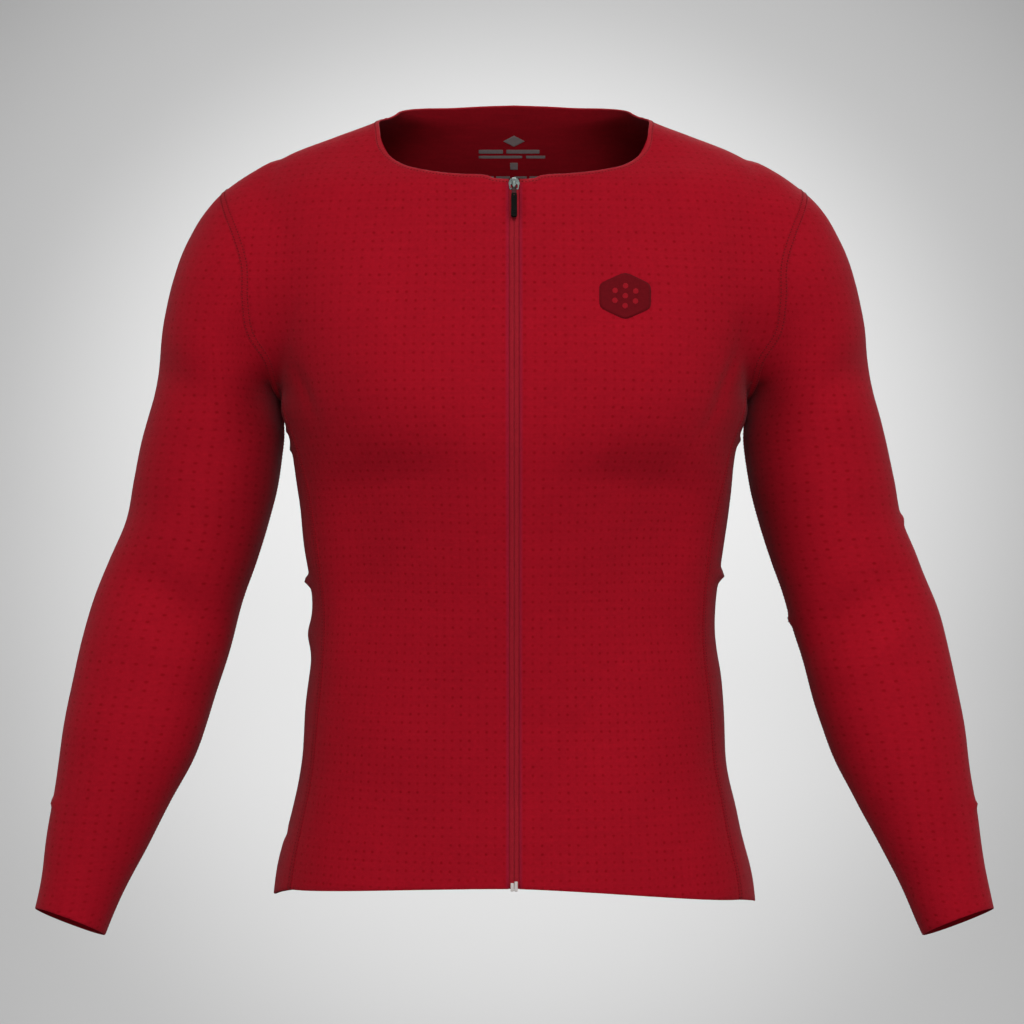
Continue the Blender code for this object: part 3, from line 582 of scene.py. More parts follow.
def creasing(points, normals):
    """How far the cloth stands out from the form at these points."""
    height = np.zeros(points.shape[:-1])
    for (middle, along, across, out), row in zip(CREASE_FRAMES, ALL_CREASES):
        length, width, rise, bend, lower_width = row[6:]
        away = points - middle
        share = away @ along / (0.5 * length)
        aside = away @ across + 0.5 * bend * length * share**2 / 2
        aside = aside / np.where(aside > 0, width, lower_width)
        fade = np.clip(1 - share**2, 0, 1) ** 2 * np.clip(normals @ out, 0, 1)
        height += rise * fade * np.exp(-(aside**2) - (away @ out / (CREASE_REACH + width)) ** 2)
    for x, y, z, length, rise in WAVES:
        height += rise * np.sin(points @ unit(np.array([x, y, z])) * 2 * math.pi / length)
    return height


def raised(points, out=0.0):
    """Points of the form moved out by the creases and by `out` more; and the way out there."""
    normals = outward(points)
    return points + (creasing(points, normals) + out)[..., None] * normals, normals


def on_cloth(points, out=0.0):
    """The points drawn onto the creased cloth and moved out from it; and the way out there."""
    return raised(settle(points, None, TURNS_NEAR), out)


# ---------------------------------------------------------------- meshes

def placed(name, data):
    """A new object in the scene."""
    thing = bpy.data.objects.new(name, data)
    bpy.context.scene.collection.objects.link(thing)
    return thing


@contextmanager
def reworking(mesh):
    """The mesh as a bmesh, which is written back to it at the end."""
    bm = bmesh.new()
    bm.from_mesh(mesh)
    yield bm
    bm.to_mesh(mesh)
    bm.free()


def add_piece(name, points, faces, material, uvs=None):
    """A smooth closed mesh. uvs has a pair for each corner of each face."""
    mesh = bpy.data.meshes.new(name)
    mesh.from_pydata(np.asarray(points).tolist(), [], [list(face) for face in faces])
    if uvs is not None:
        layer = mesh.uv_layers.new(name="Cloth")
        layer.data.foreach_set("uv", np.asarray(uvs, np.float32).ravel())
    with reworking(mesh) as bm:
        bmesh.ops.recalc_face_normals(bm, faces=bm.faces)
    mesh.shade_smooth()
    mesh.materials.append(material)
    return placed(name, mesh)


def loop_faces(rows, size, closed):
    """Quads between `rows` loops of `size` points each. If closed, the last loop joins the first."""
    i, j = np.meshgrid(np.arange(rows if closed else rows - 1), np.arange(size), indexing="ij")
    i, j = i.ravel(), j.ravel()
    above, beside = (i + 1) % rows, (j + 1) % size
    return np.stack([i * size + j, i * size + beside, above * size + beside, above * size + j], 1)


def add_tube(name, loops, material, closed=False):
    """A solid through a row of outlines, joined into a ring or closed flat at both ends."""
    rows, size = loops.shape[:2]
    faces = loop_faces(rows, size, closed).tolist()
    if not closed:
        faces += [list(range(size)), list(range((rows - 1) * size, rows * size))[::-1]]
    return add_piece(name, loops.reshape(-1, 3), faces, material)


def there_and_back(grid):
    """Each row of the grid and then the same row backwards, with both ends of it twice more."""
    return np.concatenate([grid, grid[:, [-1, -1]], grid[:, ::-1], grid[:, [0, 0]]], axis=1)


def closed_sheet(name, outer, inner, uv, material, painted_shade_inside=None, ring=False, rim=RIM):
    """A closed shell between two grids, with rounded rims and, if given, a darker look inside: painted shade.
    A ring's last row is its first one again."""
    half = (outer - inner) / 2
    middle = (outer + inner) / 2

    def rim_points(edge, beside):
        stand = rim * unit(middle[:, edge] - middle[:, beside])
        return [middle[:, edge] + share * half[:, edge] + stand for share in (0.5, -0.5)]

    right, left = rim_points(-1, -2), rim_points(0, 1)
    loops = np.concatenate([outer, np.stack(right, 1), inner[:, ::-1], np.stack(left[::-1], 1)], axis=1)
    uv_loops = there_and_back(uv)
    if ring:
        loops = loops[:-1]
    else:
        centre = there_and_back(middle)
        ends = []
        for edge, beside in ((0, 1), (-1, -2)):
            stand = rim * unit(centre[edge] - centre[beside])
            ends.append(centre[edge] + 0.5 * (loops[edge] - centre[edge]) + stand)
        loops = np.concatenate([ends[0][None], loops, ends[1][None]])
        uv_loops = np.concatenate([uv_loops[:1], uv_loops, uv_loops[-1:]])
    rows, size = loops.shape[:2]
    faces = loop_faces(rows, size, ring)
    i, j = np.meshgrid(np.arange(len(uv_loops) - 1), np.arange(size), indexing="ij")
    i, j = i.ravel(), j.ravel()
    beside = (j + 1) % size
    corners = np.stack([uv_loops[i, j], uv_loops[i, beside], uv_loops[i + 1, beside], uv_loops[i + 1, j]], 1)
    columns = outer.shape[1]
    inside = (j > columns) & (j < size - 3)
    if not ring:
        j = np.arange(-1, columns)
        last = size - 3
        cap = np.stack([j % size, j + 1, last - j - 1, last - j], 1)
        cap[0] = [size - 1, 0, last, size - 2]
        cap[-1] = [columns - 1, columns, columns + 1, columns + 2]
        for row in (0, rows - 1):
            faces = np.concatenate([faces, row * size + cap])
            corners = np.concatenate([corners, uv_loops[row][cap]])
    piece = add_piece(name, loops.reshape(-1, 3), faces.tolist(), material, corners)
    # The inside faces take the darker inside look, painted shade.
    if painted_shade_inside:
        piece.data.materials.append(painted_shade_inside)
        marks = np.zeros(len(faces), np.int32)
        marks[: len(inside)] = inside
        piece.data.polygons.foreach_set("material_index", marks)
    return piece


def resampled(points, steps, corners=()):
    """`steps` smooth steps for each step between the rows of points. The lines may turn at a corner."""
    stops = [0, *corners, len(points) - 1]
    parts = []
    for start, end in zip(stops, stops[1:]):
        stretch = points[start : end + 1]
        table = np.column_stack([np.arange(len(stretch)), stretch.reshape(len(stretch), -1)])
        at = np.linspace(0, len(stretch) - 1, steps * (len(stretch) - 1) + 1)
        fine = along_rows(table, at).T.reshape(-1, *points.shape[1:])
        parts.append(fine[min(len(parts), 1) :])
    return np.concatenate(parts)


def fine_grid(grid, up, only, row_corners=(), column_corners=()):
    """A panel's grid in fine steps, drawn onto the form. Its edges are the seams', which neighbours share."""
    fine = resampled(grid, up, row_corners)
    fine = resampled(fine.swapaxes(0, 1), FINE_ACROSS, column_corners).swapaxes(0, 1)
    inside = settle(fine[1:-1, 1:-1], only, TURNS_NEAR)
    fine = settle(fine, None, TURNS_NEAR)
    fine[1:-1, 1:-1] = inside
    return fine


def stepped_back(grid, edges):
    """The grid with its sewn edges moved in by half a gap. edges is any of b, t, l and r."""
    moved = grid.copy()
    sides = {
        "b": (np.s_[0], np.s_[1]),
        "t": (np.s_[-1], np.s_[-2]),
        "l": (np.s_[:, 0], np.s_[:, 1]),
        "r": (np.s_[:, -1], np.s_[:, -2]),
    }
    for edge in edges:
        rim, inside = sides[edge]
        moved[rim] += (0.5 * GAP + RIM) * unit(grid[inside] - grid[rim])
    return moved


def steps_along(grid, axis, pitch):
    """How many pitches each point lies from the start of its row (axis 1) or column (axis 0)."""
    lengths = np.linalg.norm(np.diff(grid, axis=axis), axis=-1)
    pitch = np.moveaxis(pitch, axis, 0)
    mean = np.moveaxis((pitch[1:] + pitch[:-1]) / 2, 0, axis)
    travelled = np.cumsum(lengths / mean, axis)
    return np.concatenate([0 * np.take(travelled, [0], axis), travelled], axis)


def hole_map(grid, holes, row, column, level=None):
    """The place of each point of a panel, counted in holes across and up from this row and column. Up to
    the height `level`, its rows of holes lie level."""
    across, up = along_rows(holes, grid[..., 2])
    u = steps_along(grid, 1, across)
    v = steps_along(grid, 0, up)
    if level is None:
        v = v - v[[row]]
    else:
        v = v - v[row, column]
        height = grid[..., 2]
        reached = [np.interp(level, height[:, k], v[:, k]) for k in range(grid.shape[1])]
        beyond = np.maximum(v - np.array(reached), 0)
        below = np.maximum(height[0, column] - height, 0) / up
        v = np.interp(np.minimum(height, level), height[:, column], v[:, column]) + beyond - below
    return np.stack([u - u[:, [column]], v], axis=-1)


def on_jersey(piece, slot, *nodes):
    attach(piece, "jersey")
    if nodes:
        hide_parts(*nodes)
    return piece


# ---------------------------------------------------------------- seams and stitches

# Half of a flat seam's section: how far aside of its middle, and how far out from the cloth. The
# stitches lie in its two grooves.
SEAM_SECTION = [
    (0.0000, 0.00022),
    (0.0010, 0.00020),
    (0.0015, 0.00017),
    (0.0019, 0.00008),
    (0.0023, 0.00016),
    (0.0028, 0.00008),
    (0.0031, -0.00025),
]
SEAM_BOTTOM = [(-0.0020, -0.0005), (0.0020, -0.0005)]
SEAM_STITCH_OUT = 0.00018
ARMHOLE_LIFT = 0.00012  # the armholes' seams lie this much further out, because others end at them
STITCH_ASIDE = 0.0019
STITCH_PITCH = 0.0025
STITCH_SIZE = (0.0014, 0.0009, 0.0005)  # length, width and height
STITCH_STRAIGHT = 0.55  # share of its length between its pointed ends
# The turned neckline edge: distance from the edge into the panel, and how far out from the cloth.
NECK_SECTION = [
    (0.0036, -0.00030),
    (0.0034, 0.00010),
    (0.0028, 0.00022),
    (0.0004, 0.00028),
    (-0.0002, 0.00010),
    (-0.0004, -0.00045),
    (-0.0002, -0.00100),
    (0.0003, -0.00118),
    (0.0007, -0.00112),
    (0.0012, -0.00070),
]
NECK_STITCH_ASIDE = 0.0026
NECK_STITCH_OUT = 0.00022


def side_of(line, normals, closed):
    """The way aside along the cloth, to the left of the way along the line as seen from outside."""
    if closed:
        along = np.roll(line, -1, axis=0) - np.roll(line, 1, axis=0)
    else:
        along = np.gradient(line, axis=0)
    return unit(np.cross(normals, along))


def seam_ribbon(name, line, lift=0.0, closed=False):
    """The flat stitched seam over the joint of two panels."""
    right = SEAM_SECTION[::-1]
    left = [(-aside, out) for aside, out in SEAM_SECTION[1:]]
    side = side_of(line, outward(line), closed)
    loops = []
    for aside, out in right + left + SEAM_BOTTOM:
        loops.append(on_cloth(line + aside * side, out + lift)[0])
    return on_jersey(add_tube(name, np.stack(loops, 1), LOOKS["seam"], closed), "knit")


def spaced(line, pitch):
    """Points at this distance along a line, and the way along it at each."""
    travelled = travel(line)
    wanted = np.arange(0.5 * pitch, travelled[-1] - 0.4 * pitch, pitch)
    points = at_distances(wanted, travelled, line)
    return points, unit(at_distances(wanted + 0.2 * pitch, travelled, line) - points)


def stitches(name, rows, out):
    """Rows of stitches, each a small capsule, this far out from the cloth."""
    turn = np.arange(6) * math.pi / 3
    ring = np.column_stack([0 * turn, np.cos(turn), np.sin(turn)])
    end = (STITCH_STRAIGHT, 0, 0)
    shape = np.vstack([[(-1, 0, 0)], ring - end, ring + end, [(1, 0, 0)]])
    shape *= np.array(STITCH_SIZE) / 2
    step = [(k, (k + 1) % 6) for k in range(6)]
    shape_faces = [(0, 1 + b, 1 + a) for a, b in step]
    shape_faces += [(1 + a, 1 + b, 7 + b, 7 + a) for a, b in step]
    shape_faces += [(13, 7 + a, 7 + b) for a, b in step]
    points, faces = [], []
    for row in rows:
        middle, along = spaced(row, STITCH_PITCH)
        middle, normals = on_cloth(middle, out)
        side = unit(np.cross(normals, along))
        frames = np.stack([along, side, normals], axis=1)
        points.append((middle[:, None] + shape @ frames).reshape(-1, 3))
    points = np.vstack(points)
    for start in range(0, len(points), len(shape)):
        faces += [[start + k for k in face] for face in shape_faces]
    return on_jersey(add_piece(name, points, faces, LOOKS["thread"]), "knit")


def seam_with_stitches(name, line, lift=0.0, closed=False):
    ribbon = seam_ribbon(f"{name}_seam", line, lift, closed)
    side = side_of(line, outward(line), closed)
    rows = []
    for aside in (-STITCH_ASIDE, STITCH_ASIDE):
        row = line + aside * side
        rows.append(np.vstack([row, row[:1]]) if closed else row)
    return [ribbon, stitches(f"{name}_stitches", rows, SEAM_STITCH_OUT + lift)]


def neck_edge(line):
    """The turned edge round the neck, from the zip over the back to the zip again, and its stitches."""
    normals = outward(line)
    into = side_of(line, normals, False)
    loops = []
    for aside, out in NECK_SECTION:
        if aside > 0:
            loops.append(on_cloth(line + aside * into, out)[0])
        else:
            loops.append(raised(line, out)[0] + aside * into)
    edge = on_jersey(add_tube("neck_edge", np.stack(loops, 1), LOOKS["edge"]), "knit")
    row = line + NECK_STITCH_ASIDE * into
    return [edge, stitches("neck_stitches", [row], NECK_STITCH_OUT)]


# ---------------------------------------------------------------- materials

# Unevenness of the knit, as noises: how fine, how detailed, and how much finer in each direction.
PATCHES = (9.0, 3.0)
STREAKS = (60.0, 2.0, (1, 1, 9))
THREADS = (1100.0, 1.0)
LOOPS = (430.0, 1.0)
HOLE_RADIUS = 0.185  # in holes' pitches
# Painted shade: holes are darkened, and their green and blue cut, for the dark inside of the jersey seen
# through them.
HOLE_SHADE = 0.74  # how bright a hole is
HOLE_SHADE_TINT = 0.66  # and how much of its green and blue is left
LOOPS_PER_HOLE = 12.0
# Painted shade and painted sheen: along a turned edge the knit is darker and greyer, up to this far across.
ZIP_EDGE_PAINTED_SHADE = {"From Min": 0.12, "From Max": 0.36}  # where a turned edge ends, in holes across
# Painted shade: the knit's colour is darkened where other cloth faces it, as in the armpits: how near that
# has to be, and how dark the closest gets.
PAINTED_SHADE_REACH = 0.10
PAINTED_SHADE_DARKEST = 0.40
RIB_SLANT = 0.35  # how much the ribs climb across
SHEEN_TINT = (1.0, 0.70, 0.75, 1)


class Look:
    """A material with its Principled shader, and short ways to add nodes to it."""

    def __init__(self, name, colour, roughness, **numbers):
        self.material = bpy.data.materials.new(name)
        self.material.use_nodes = True
        self.material.diffuse_color = (*colour, 1)
        self.tree = self.material.node_tree
        self.shader = self.tree.nodes["Principled BSDF"]
        self.shader.inputs["Base Color"].default_value = (*colour, 1)
        self.shader.inputs["Roughness"].default_value = roughness
        for key, value in numbers.items():
            self.shader.inputs[key.replace("_", " ")].default_value = value
        self.place = self.add("ShaderNodeTexCoord").outputs["Object"]

    def add(self, kind, inputs=(), **settings):
        made = self.tree.nodes.new(kind)
        for key, value in settings.items():
            setattr(made, key, value)
        for key, value in dict(inputs).items():
            if isinstance(value, bpy.types.NodeSocket):
                self.tree.links.new(value, made.inputs[key])
            else:
                made.inputs[key].default_value = value
        return made

    def math(self, operation, *values):
        return self.add("ShaderNodeMath", enumerate(values), operation=operation).outputs[0]

    def product(self, first, *others):
        for value in others:
            first = self.math("MULTIPLY", first, value)
        return first

    def noise(self, scale, detail=2.0, stretch=(1, 1, 1)):
        place = self.add("ShaderNodeVectorMath", {0: self.place, 1: stretch}, operation="MULTIPLY").outputs[0]
        made = self.add("ShaderNodeTexNoise", {"Vector": place, "Scale": scale, "Detail": detail})
        return made.outputs[0]

    def spread(self, value, low, high):
        """Turns 0 to 1 into low to high."""
        return self.add("ShaderNodeMapRange", {"Value": value, "To Min": low, "To Max": high}).outputs[0]

    def ripple(self, coordinate, count):
        """Waves between -1 and 1, `count` for each unit of the coordinate."""
        return self.math("SINE", self.math("MULTIPLY", coordinate, 2 * math.pi * count))

    def tint(self, colour, *brightness):
        """Sets the colour, made lighter or darker by a socket, or by one each for red, green and blue."""
        shares = {k: brightness[k % len(brightness)] for k in range(3)}
        grey = self.add("ShaderNodeCombineColor", shares).outputs[0]
        mix = self.add("ShaderNodeMix", data_type="RGBA", blend_type="MULTIPLY")
        mix.inputs["Factor"].default_value = 1
        mix.inputs["A"].default_value = (*colour, 1)
        self.tree.links.new(grey, mix.inputs["B"])
        self.tree.links.new(mix.outputs["Result"], self.shader.inputs["Base Color"])

    def bump(self, height, distance, strength=1.0):
        made = self.add("ShaderNodeBump", {"Strength": strength, "Distance": distance, "Height": height})
        self.tree.links.new(made.outputs[0], self.shader.inputs["Normal"])


def holes_of(look):
    """1 in the knit's holes and 0 between them, some holes weaker than others; and the two ways
    across and up the cloth, counted in holes."""
    uv = look.add("ShaderNodeUVMap", uv_map="Cloth").outputs[0]
    parts = look.add("ShaderNodeSeparateXYZ", {0: uv})
    across, up = parts.outputs[0], parts.outputs[1]
    aside = [look.math("SUBTRACT", look.math("FRACT", way), 0.5) for way in (across, up)]
    far = [look.math("POWER", look.math("DIVIDE", value, HOLE_RADIUS), 2.0) for value in aside]
    from_middle = look.math("ADD", *far)
    cell = look.add("ShaderNodeVectorMath", {0: uv}, operation="FLOOR").outputs[0]
    chance = look.add("ShaderNodeTexWhiteNoise", {"Vector": cell}).outputs[0]
    edge = look.add(
        "ShaderNodeMapRange",
        {"Value": from_middle, "From Min": 0.0, "From Max": 1.5, "To Min": 1.0, "To Max": 0.0},
        interpolation_type="SMOOTHSTEP",
    ).outputs[0]
    return look.math("MULTIPLY", edge, look.spread(chance, 0.30, 1.0)), across, up


def fabric(name, colour, holes=False, ribs=0.0, mottle=0.12, sheen=0.075, streak=0.8, turned=False):
    """A matt knit or tape: patches of lighter and darker thread, level streaks, ribs and holes. With holes it
    gets
    painted shade: the holes darker, and the knit darker where other cloth faces it. A turned edge lies along
    the holes' first column, without holes, with painted shade and a painted greyer sheen."""
    look = Look(name, colour, 0.85, Sheen_Weight=sheen, Sheen_Roughness=0.40, Specular_IOR_Level=0.06)
    look.shader.inputs["Sheen Tint"].default_value = SHEEN_TINT
    threads = look.noise(*THREADS)
    tones_and_painted_shade = [
        look.spread(look.noise(*PATCHES), 1 - mottle, 1 + mottle),
        look.spread(look.noise(*STREAKS), 1 - streak * mottle, 1 + streak * mottle),
        look.spread(threads, 0.90, 1.10),
        look.spread(look.noise(*LOOPS), 0.88, 1.12),
    ]
    height = look.math("MULTIPLY", threads, 0.4)
    painted_edge_sheen = painted_hole_tint = 1.0
    if holes:
        hole, across, up = holes_of(look)
        # A turned edge gets painted shade and a painted greyer sheen.
        if turned:
            flat = look.add("ShaderNodeMapRange", {"Value": across, **ZIP_EDGE_PAINTED_SHADE}).outputs[0]
            tones_and_painted_shade.append(look.spread(flat, 0.90, 1.0))
            painted_edge_sheen = look.spread(flat, 2.0, 1.0)
        # Painted shade: darker holes, for the dark inside seen through them, and darker knit where other
        # cloth faces it.
        painted_occlusion = look.add("ShaderNodeAmbientOcclusion", {"Distance": PAINTED_SHADE_REACH}, samples=4)
        tones_and_painted_shade.append(look.spread(hole, 1.0, HOLE_SHADE))
        tones_and_painted_shade.append(look.spread(painted_occlusion.outputs["AO"], PAINTED_SHADE_DARKEST, 1.0))
        painted_hole_tint = look.spread(hole, 1.0, HOLE_SHADE_TINT)
        knit = look.product(look.ripple(across, LOOPS_PER_HOLE), look.ripple(up, LOOPS_PER_HOLE))
        height = look.math("MULTIPLY_ADD", knit, 0.25, height)
        height = look.math("MULTIPLY_ADD", hole, -0.5, height)
    if ribs:
        parts = look.add("ShaderNodeSeparateXYZ", {0: look.place})
        ridge = look.ripple(look.math("MULTIPLY_ADD", parts.outputs[0], RIB_SLANT, parts.outputs[2]), ribs)
        tones_and_painted_shade.append(look.math("MULTIPLY_ADD", ridge, 0.06, 1.0))
        height = look.math("MULTIPLY_ADD", ridge, 0.5, height)
    brightness = look.product(*tones_and_painted_shade)
    paler = look.product(brightness, look.product(painted_edge_sheen, painted_hole_tint))
    look.tint(colour, brightness, paler, paler)
    look.bump(height, 0.00025, 0.6)
    return look.material


def hard(name, colour, roughness, speck, **numbers):
    """Metal, rubber or moulded plastic, with small uneven patches."""
    look = Look(name, colour, roughness, **numbers)
    patches = look.noise(700.0, 3.0)
    look.tint(colour, look.spread(patches, 1 - speck, 1 + speck))
    worn = look.spread(look.noise(260.0, 2.0), roughness * 0.8, roughness * 1.25)
    look.tree.links.new(worn, look.shader.inputs["Roughness"])
    look.bump(patches, 0.00003, 0.4)
    return look.material


RED = (0.395, 0.0050, 0.0158)
LOOKS = {
    "knit": fabric("perforated_knit", RED, holes=True),
    # The fronts' knit: painted shade and painted sheen along the zip edge.
    "front": fabric("perforated_front_knit", RED, holes=True, turned=True),
    # The panels' inside: a darker copy of the knit, painted shade for the dark inside the jersey.
    "inside": fabric("knit_inside_painted_shade", (0.185, 0.0022, 0.0064), sheen=0.02, streak=1.6),
    "pocket": fabric("pocket_knit", RED, ribs=900.0),
    "seam": fabric("seam_knit", (0.350, 0.0055, 0.0145), ribs=650.0, sheen=0.08),
    "edge": fabric("neck_edge_knit", (0.400, 0.0130, 0.0230), ribs=800.0, sheen=0.12),
    "thread": fabric("thread", (0.170, 0.0028, 0.0075), ribs=2500.0, mottle=0.06),
    "tape": fabric("zip_tape_weave", (0.345, 0.0125, 0.0235), ribs=1100.0, mottle=0.06),
    "coil": hard("zip_coil_nylon", (0.275, 0.0120, 0.0200), 0.45, 0.08),
    "metal": hard("slider_nickel", (0.165, 0.200, 0.188), 0.50, 0.10, Metallic=0.6),
    "grip": hard("tab_rubber", (0.0030, 0.0042, 0.0032), 0.75, 0.15, Specular_IOR_Level=0.10),
    "tab_neck": hard("tab_neck_rubber", (0.070, 0.0100, 0.0130), 0.65, 0.15, Specular_IOR_Level=0.20),
    "stop": hard("end_stop_plastic", (0.66, 0.60, 0.58), 0.45, 0.06),
    "badge": fabric("badge_film", (0.150, 0.0040, 0.0080), mottle=0.05, sheen=0.1),
    "badge_dots": fabric("badge_dot_film", (0.330, 0.0080, 0.0160), mottle=0.05, sheen=0.1),
    "print": fabric("neck_print_ink", (0.1520, 0.1200, 0.1200), mottle=0.10, sheen=0.1),
}


# ---------------------------------------------------------------- the panels

# Fine columns of a front along its neckline and its shoulder seam, the back's fine column on its centre
# line, and the fine row of fronts and back at the armpits.
NECK_FINE = FINE_ACROSS * NECK_COLUMNS
SHOULDER_FINE = FINE_ACROSS * SHOULDER_COLUMNS
MIDDLE = NECK_FINE + SHOULDER_FINE
ARMPIT_ROW = FINE_UP * SIDE_ROWS
UNDERARM_START = ARMHOLE_ROWS  # columns of a sleeve beside the armhole's front, then along the underarm
UNDERARM_END = ARMHOLE_ROWS + SIDE_COLUMNS


def mirrored(grid):
    return grid * (-1, 1, 1)


def joined(left, right):
    """A line over the back, from halves that both run outwards from its middle on the left."""
    return np.vstack([mirrored(right[:0:-1]), left])


def edge_moved(grid, columns, line):
    """The grid with these columns of its top edge moved onto a line, and the rows below drawn after it."""
    shift = line - grid[-1, columns]
    for row in range(FINE_UP):
        grid[-1 - row, columns] += shift * (1 - row / FINE_UP) ** 2
        grid[-1 - row, columns] = settle(grid[-1 - row, columns], None, TURNS_NEAR)
    return grid


def fine_garment():
    """Every panel's fine grid on the form, by the panel's name."""
    left, right = half_garment(HEM_DROP_LEFT), half_garment(0.0)
    neck_front, neck_back = (seam(guide, NECK_FINE) for guide in (NECKLINE_FRONT, NECKLINE_BACK))
    grids = {}
    for side, half, flip in (("left", left, 1), ("right", right, -1)):
        front = fine_grid(half["front"], FINE_UP, "body", (SIDE_ROWS,), (NECK_COLUMNS,))
        front = edge_moved(front, np.s_[: NECK_FINE + 1], neck_front)
        panel = fine_grid(half["side"], FINE_UP, "body")
        sleeve = fine_grid(half["sleeve"], FINE_UP_SLEEVE, "arm", (), (UNDERARM_START, UNDERARM_END))
        turned = np.roll(sleeve[:, :-1], -FINE_ACROSS * (UNDERARM_START + UNDERARM_END) // 2, axis=1)
        sleeve = np.concatenate([turned, turned[:, :1]], axis=1)
        for name, grid in (("front", front), ("side", panel), ("sleeve", sleeve)):
            grids[f"{name}_{side}"] = grid * (flip, 1, 1)
    hem, side, top = left["back_edges"]
    right_hem, right_side, right_top = right["back_edges"]
    back = patch(joined(hem, right_hem), joined(top, right_top), mirrored(right_side), side)
    corners = (SHOULDER_COLUMNS, SHOULDER_COLUMNS + 2 * NECK_COLUMNS)
    back = fine_grid(back, FINE_UP, "body", (SIDE_ROWS,), corners)
    grids["back"] = edge_moved(back, np.s_[SHOULDER_FINE:-SHOULDER_FINE], joined(neck_back, neck_back))
    return grids


def add_panel(name, grid, edges, holes_from, ring=False, look="knit"):
    """A panel's thin shell. holes_from is the row and column that its holes are counted from."""
    holes = SLEEVE_HOLES if ring else BODY_HOLES
    uv = hole_map(grid, holes, *holes_from, None if ring else LEVEL_ROWS_TOP)
    outer, normals = raised(stepped_back(grid, edges))
    inner = outer - CLOTH * normals
    if ring:
        outer, inner, uv = (item.swapaxes(0, 1) for item in (outer, inner, uv))
    # The inside faces get the darker inside look, painted shade.
    cloth = closed_sheet(f"{name}_cloth", outer, inner, uv, LOOKS[look], LOOKS["inside"], ring)
    return on_jersey(cloth, "knit", name)


def add_garment(grids):
    """All panels, with their seams."""
    side_middle = FINE_ACROSS * SIDE_COLUMNS // 2
    sleeve_middle = FINE_ACROSS * (ARMHOLE_ROWS + SIDE_COLUMNS // 2)
    cap = FINE_UP_SLEEVE * CAP_ROWS
    for side in ("left", "right"):
        front, panel, sleeve = (grids[f"{name}_{side}"] for name in ("front", "side", "sleeve"))
        front_cloth = add_panel(f"front_{side}", front, "tr", (ARMPIT_ROW, 0), look="front")
        side_cloth = add_panel(f"side_{side}", panel, "tlr", (ARMPIT_ROW, side_middle))
        sleeve_cloth = add_panel(f"sleeve_{side}", sleeve, "b", (cap, sleeve_middle), ring=True)
        side_front = seam_with_stitches(f"side_front_{side}", front[: ARMPIT_ROW + 1, -1])
        side_back = seam_with_stitches(f"side_back_{side}", panel[:, -1])
        shoulder = seam_with_stitches(f"shoulder_{side}", front[-1, NECK_FINE:])
        underarm = seam_with_stitches(f"underarm_{side}", sleeve[:, 0])
        armhole = seam_with_stitches(f"armhole_{side}", sleeve[0, :-1], ARMHOLE_LIFT, True)
    back = grids["back"]
    back_cloth = add_panel("back", back, "tlr", (ARMPIT_ROW, MIDDLE))
    right, left = (grids[f"front_{side}"][-1, : NECK_FINE + 1] for side in ("right", "left"))
    neckline = np.vstack([right, back[-1, SHOULDER_FINE:-SHOULDER_FINE][1:-1], left[::-1]])
    neck_edge(neckline)


# The back pocket: fine rows up the back that it covers, fine columns left bare at each side, its cloth,
# how far its stitching lies inside its edges, and the width of the hem at its open top.
POCKET_TOP = 6 * FINE_UP
POCKET_SIDE = FINE_ACROSS
POCKET_LIFT = 0.0004
POCKET_STITCH_ROWS = 2
POCKET_HEM_ROWS = 8
POCKET_GAPE_ROWS = 12  # and rows below its top in which it stands off the back, by how much at most
POCKET_GAPE = 0.0012


def add_pocket(back):
    grid = back[: POCKET_TOP + 1, POCKET_SIDE : back.shape[1] - POCKET_SIDE]
    uv = hole_map(grid, BODY_HOLES, 0, grid.shape[1] // 2)
    gape = np.arange(len(grid)) - POCKET_TOP + POCKET_GAPE_ROWS
    gape = np.clip(gape / POCKET_GAPE_ROWS, 0, 1)[:, None] ** 2
    sag = np.sin(np.linspace(0, math.pi, grid.shape[1])) ** 0.5
    lift = POCKET_LIFT + POCKET_GAPE * gape * sag
    inner, normals = raised(grid, lift)
    outer = inner + CLOTH * normals
    pocket = closed_sheet("pocket_back_cloth", outer, inner, uv, LOOKS["pocket"])
    on_jersey(pocket, "knit", "pocket_back")
    inset = POCKET_STITCH_ROWS
    rows = [
        grid[inset:, inset],
        grid[inset:, -1 - inset],
        grid[inset, inset:-inset],
        grid[-1 - POCKET_HEM_ROWS, inset:-inset],
    ]
    sewn = stitches("pocket_stitches", rows, POCKET_LIFT + CLOTH)


# ---------------------------------------------------------------- the zip

# Section of the left tape: distance from the centre line, and how far out from the cloth's outside.
TAPE_SECTION = [
    (0.00006, -0.00090),
    (0.00016, -0.00060),
    (0.00040, -0.00046),
    (0.00120, -0.00040),
    (0.00230, -0.00040),
    (0.00310, -0.00050),
    (0.00345, -0.00090),
    (0.00420, -0.00138),
    (0.00550, -0.00138),
    (0.00800, -0.00138),
    (0.01150, -0.00138),
]
TAPE_WALL = 0.0005
TAPE_ROW = 0.001  # pitch of its weave
COIL_PITCH = 0.0015
COIL_MIDDLE = (0.00105, -0.00285)  # of the left coil: across, and out from the cloth's outside
COIL_REACH = (0.00125, 0.00062)  # half width and half depth of its turns
COIL_WIRE = 0.00028
COIL_TURN_STEPS = 8
COIL_START = 0.003  # how far above the fronts' hem it starts, and how much shorter it is than they are
COIL_SHORTER = 0.004


def centre_frame(front):
    """Points up the front on the centre line, and the way out of the cloth at each."""
    points = front[:, 0] * (0, 1, 1)
    up = unit(np.gradient(points, axis=0))
    return points, np.cross(up, (-1, 0, 0))


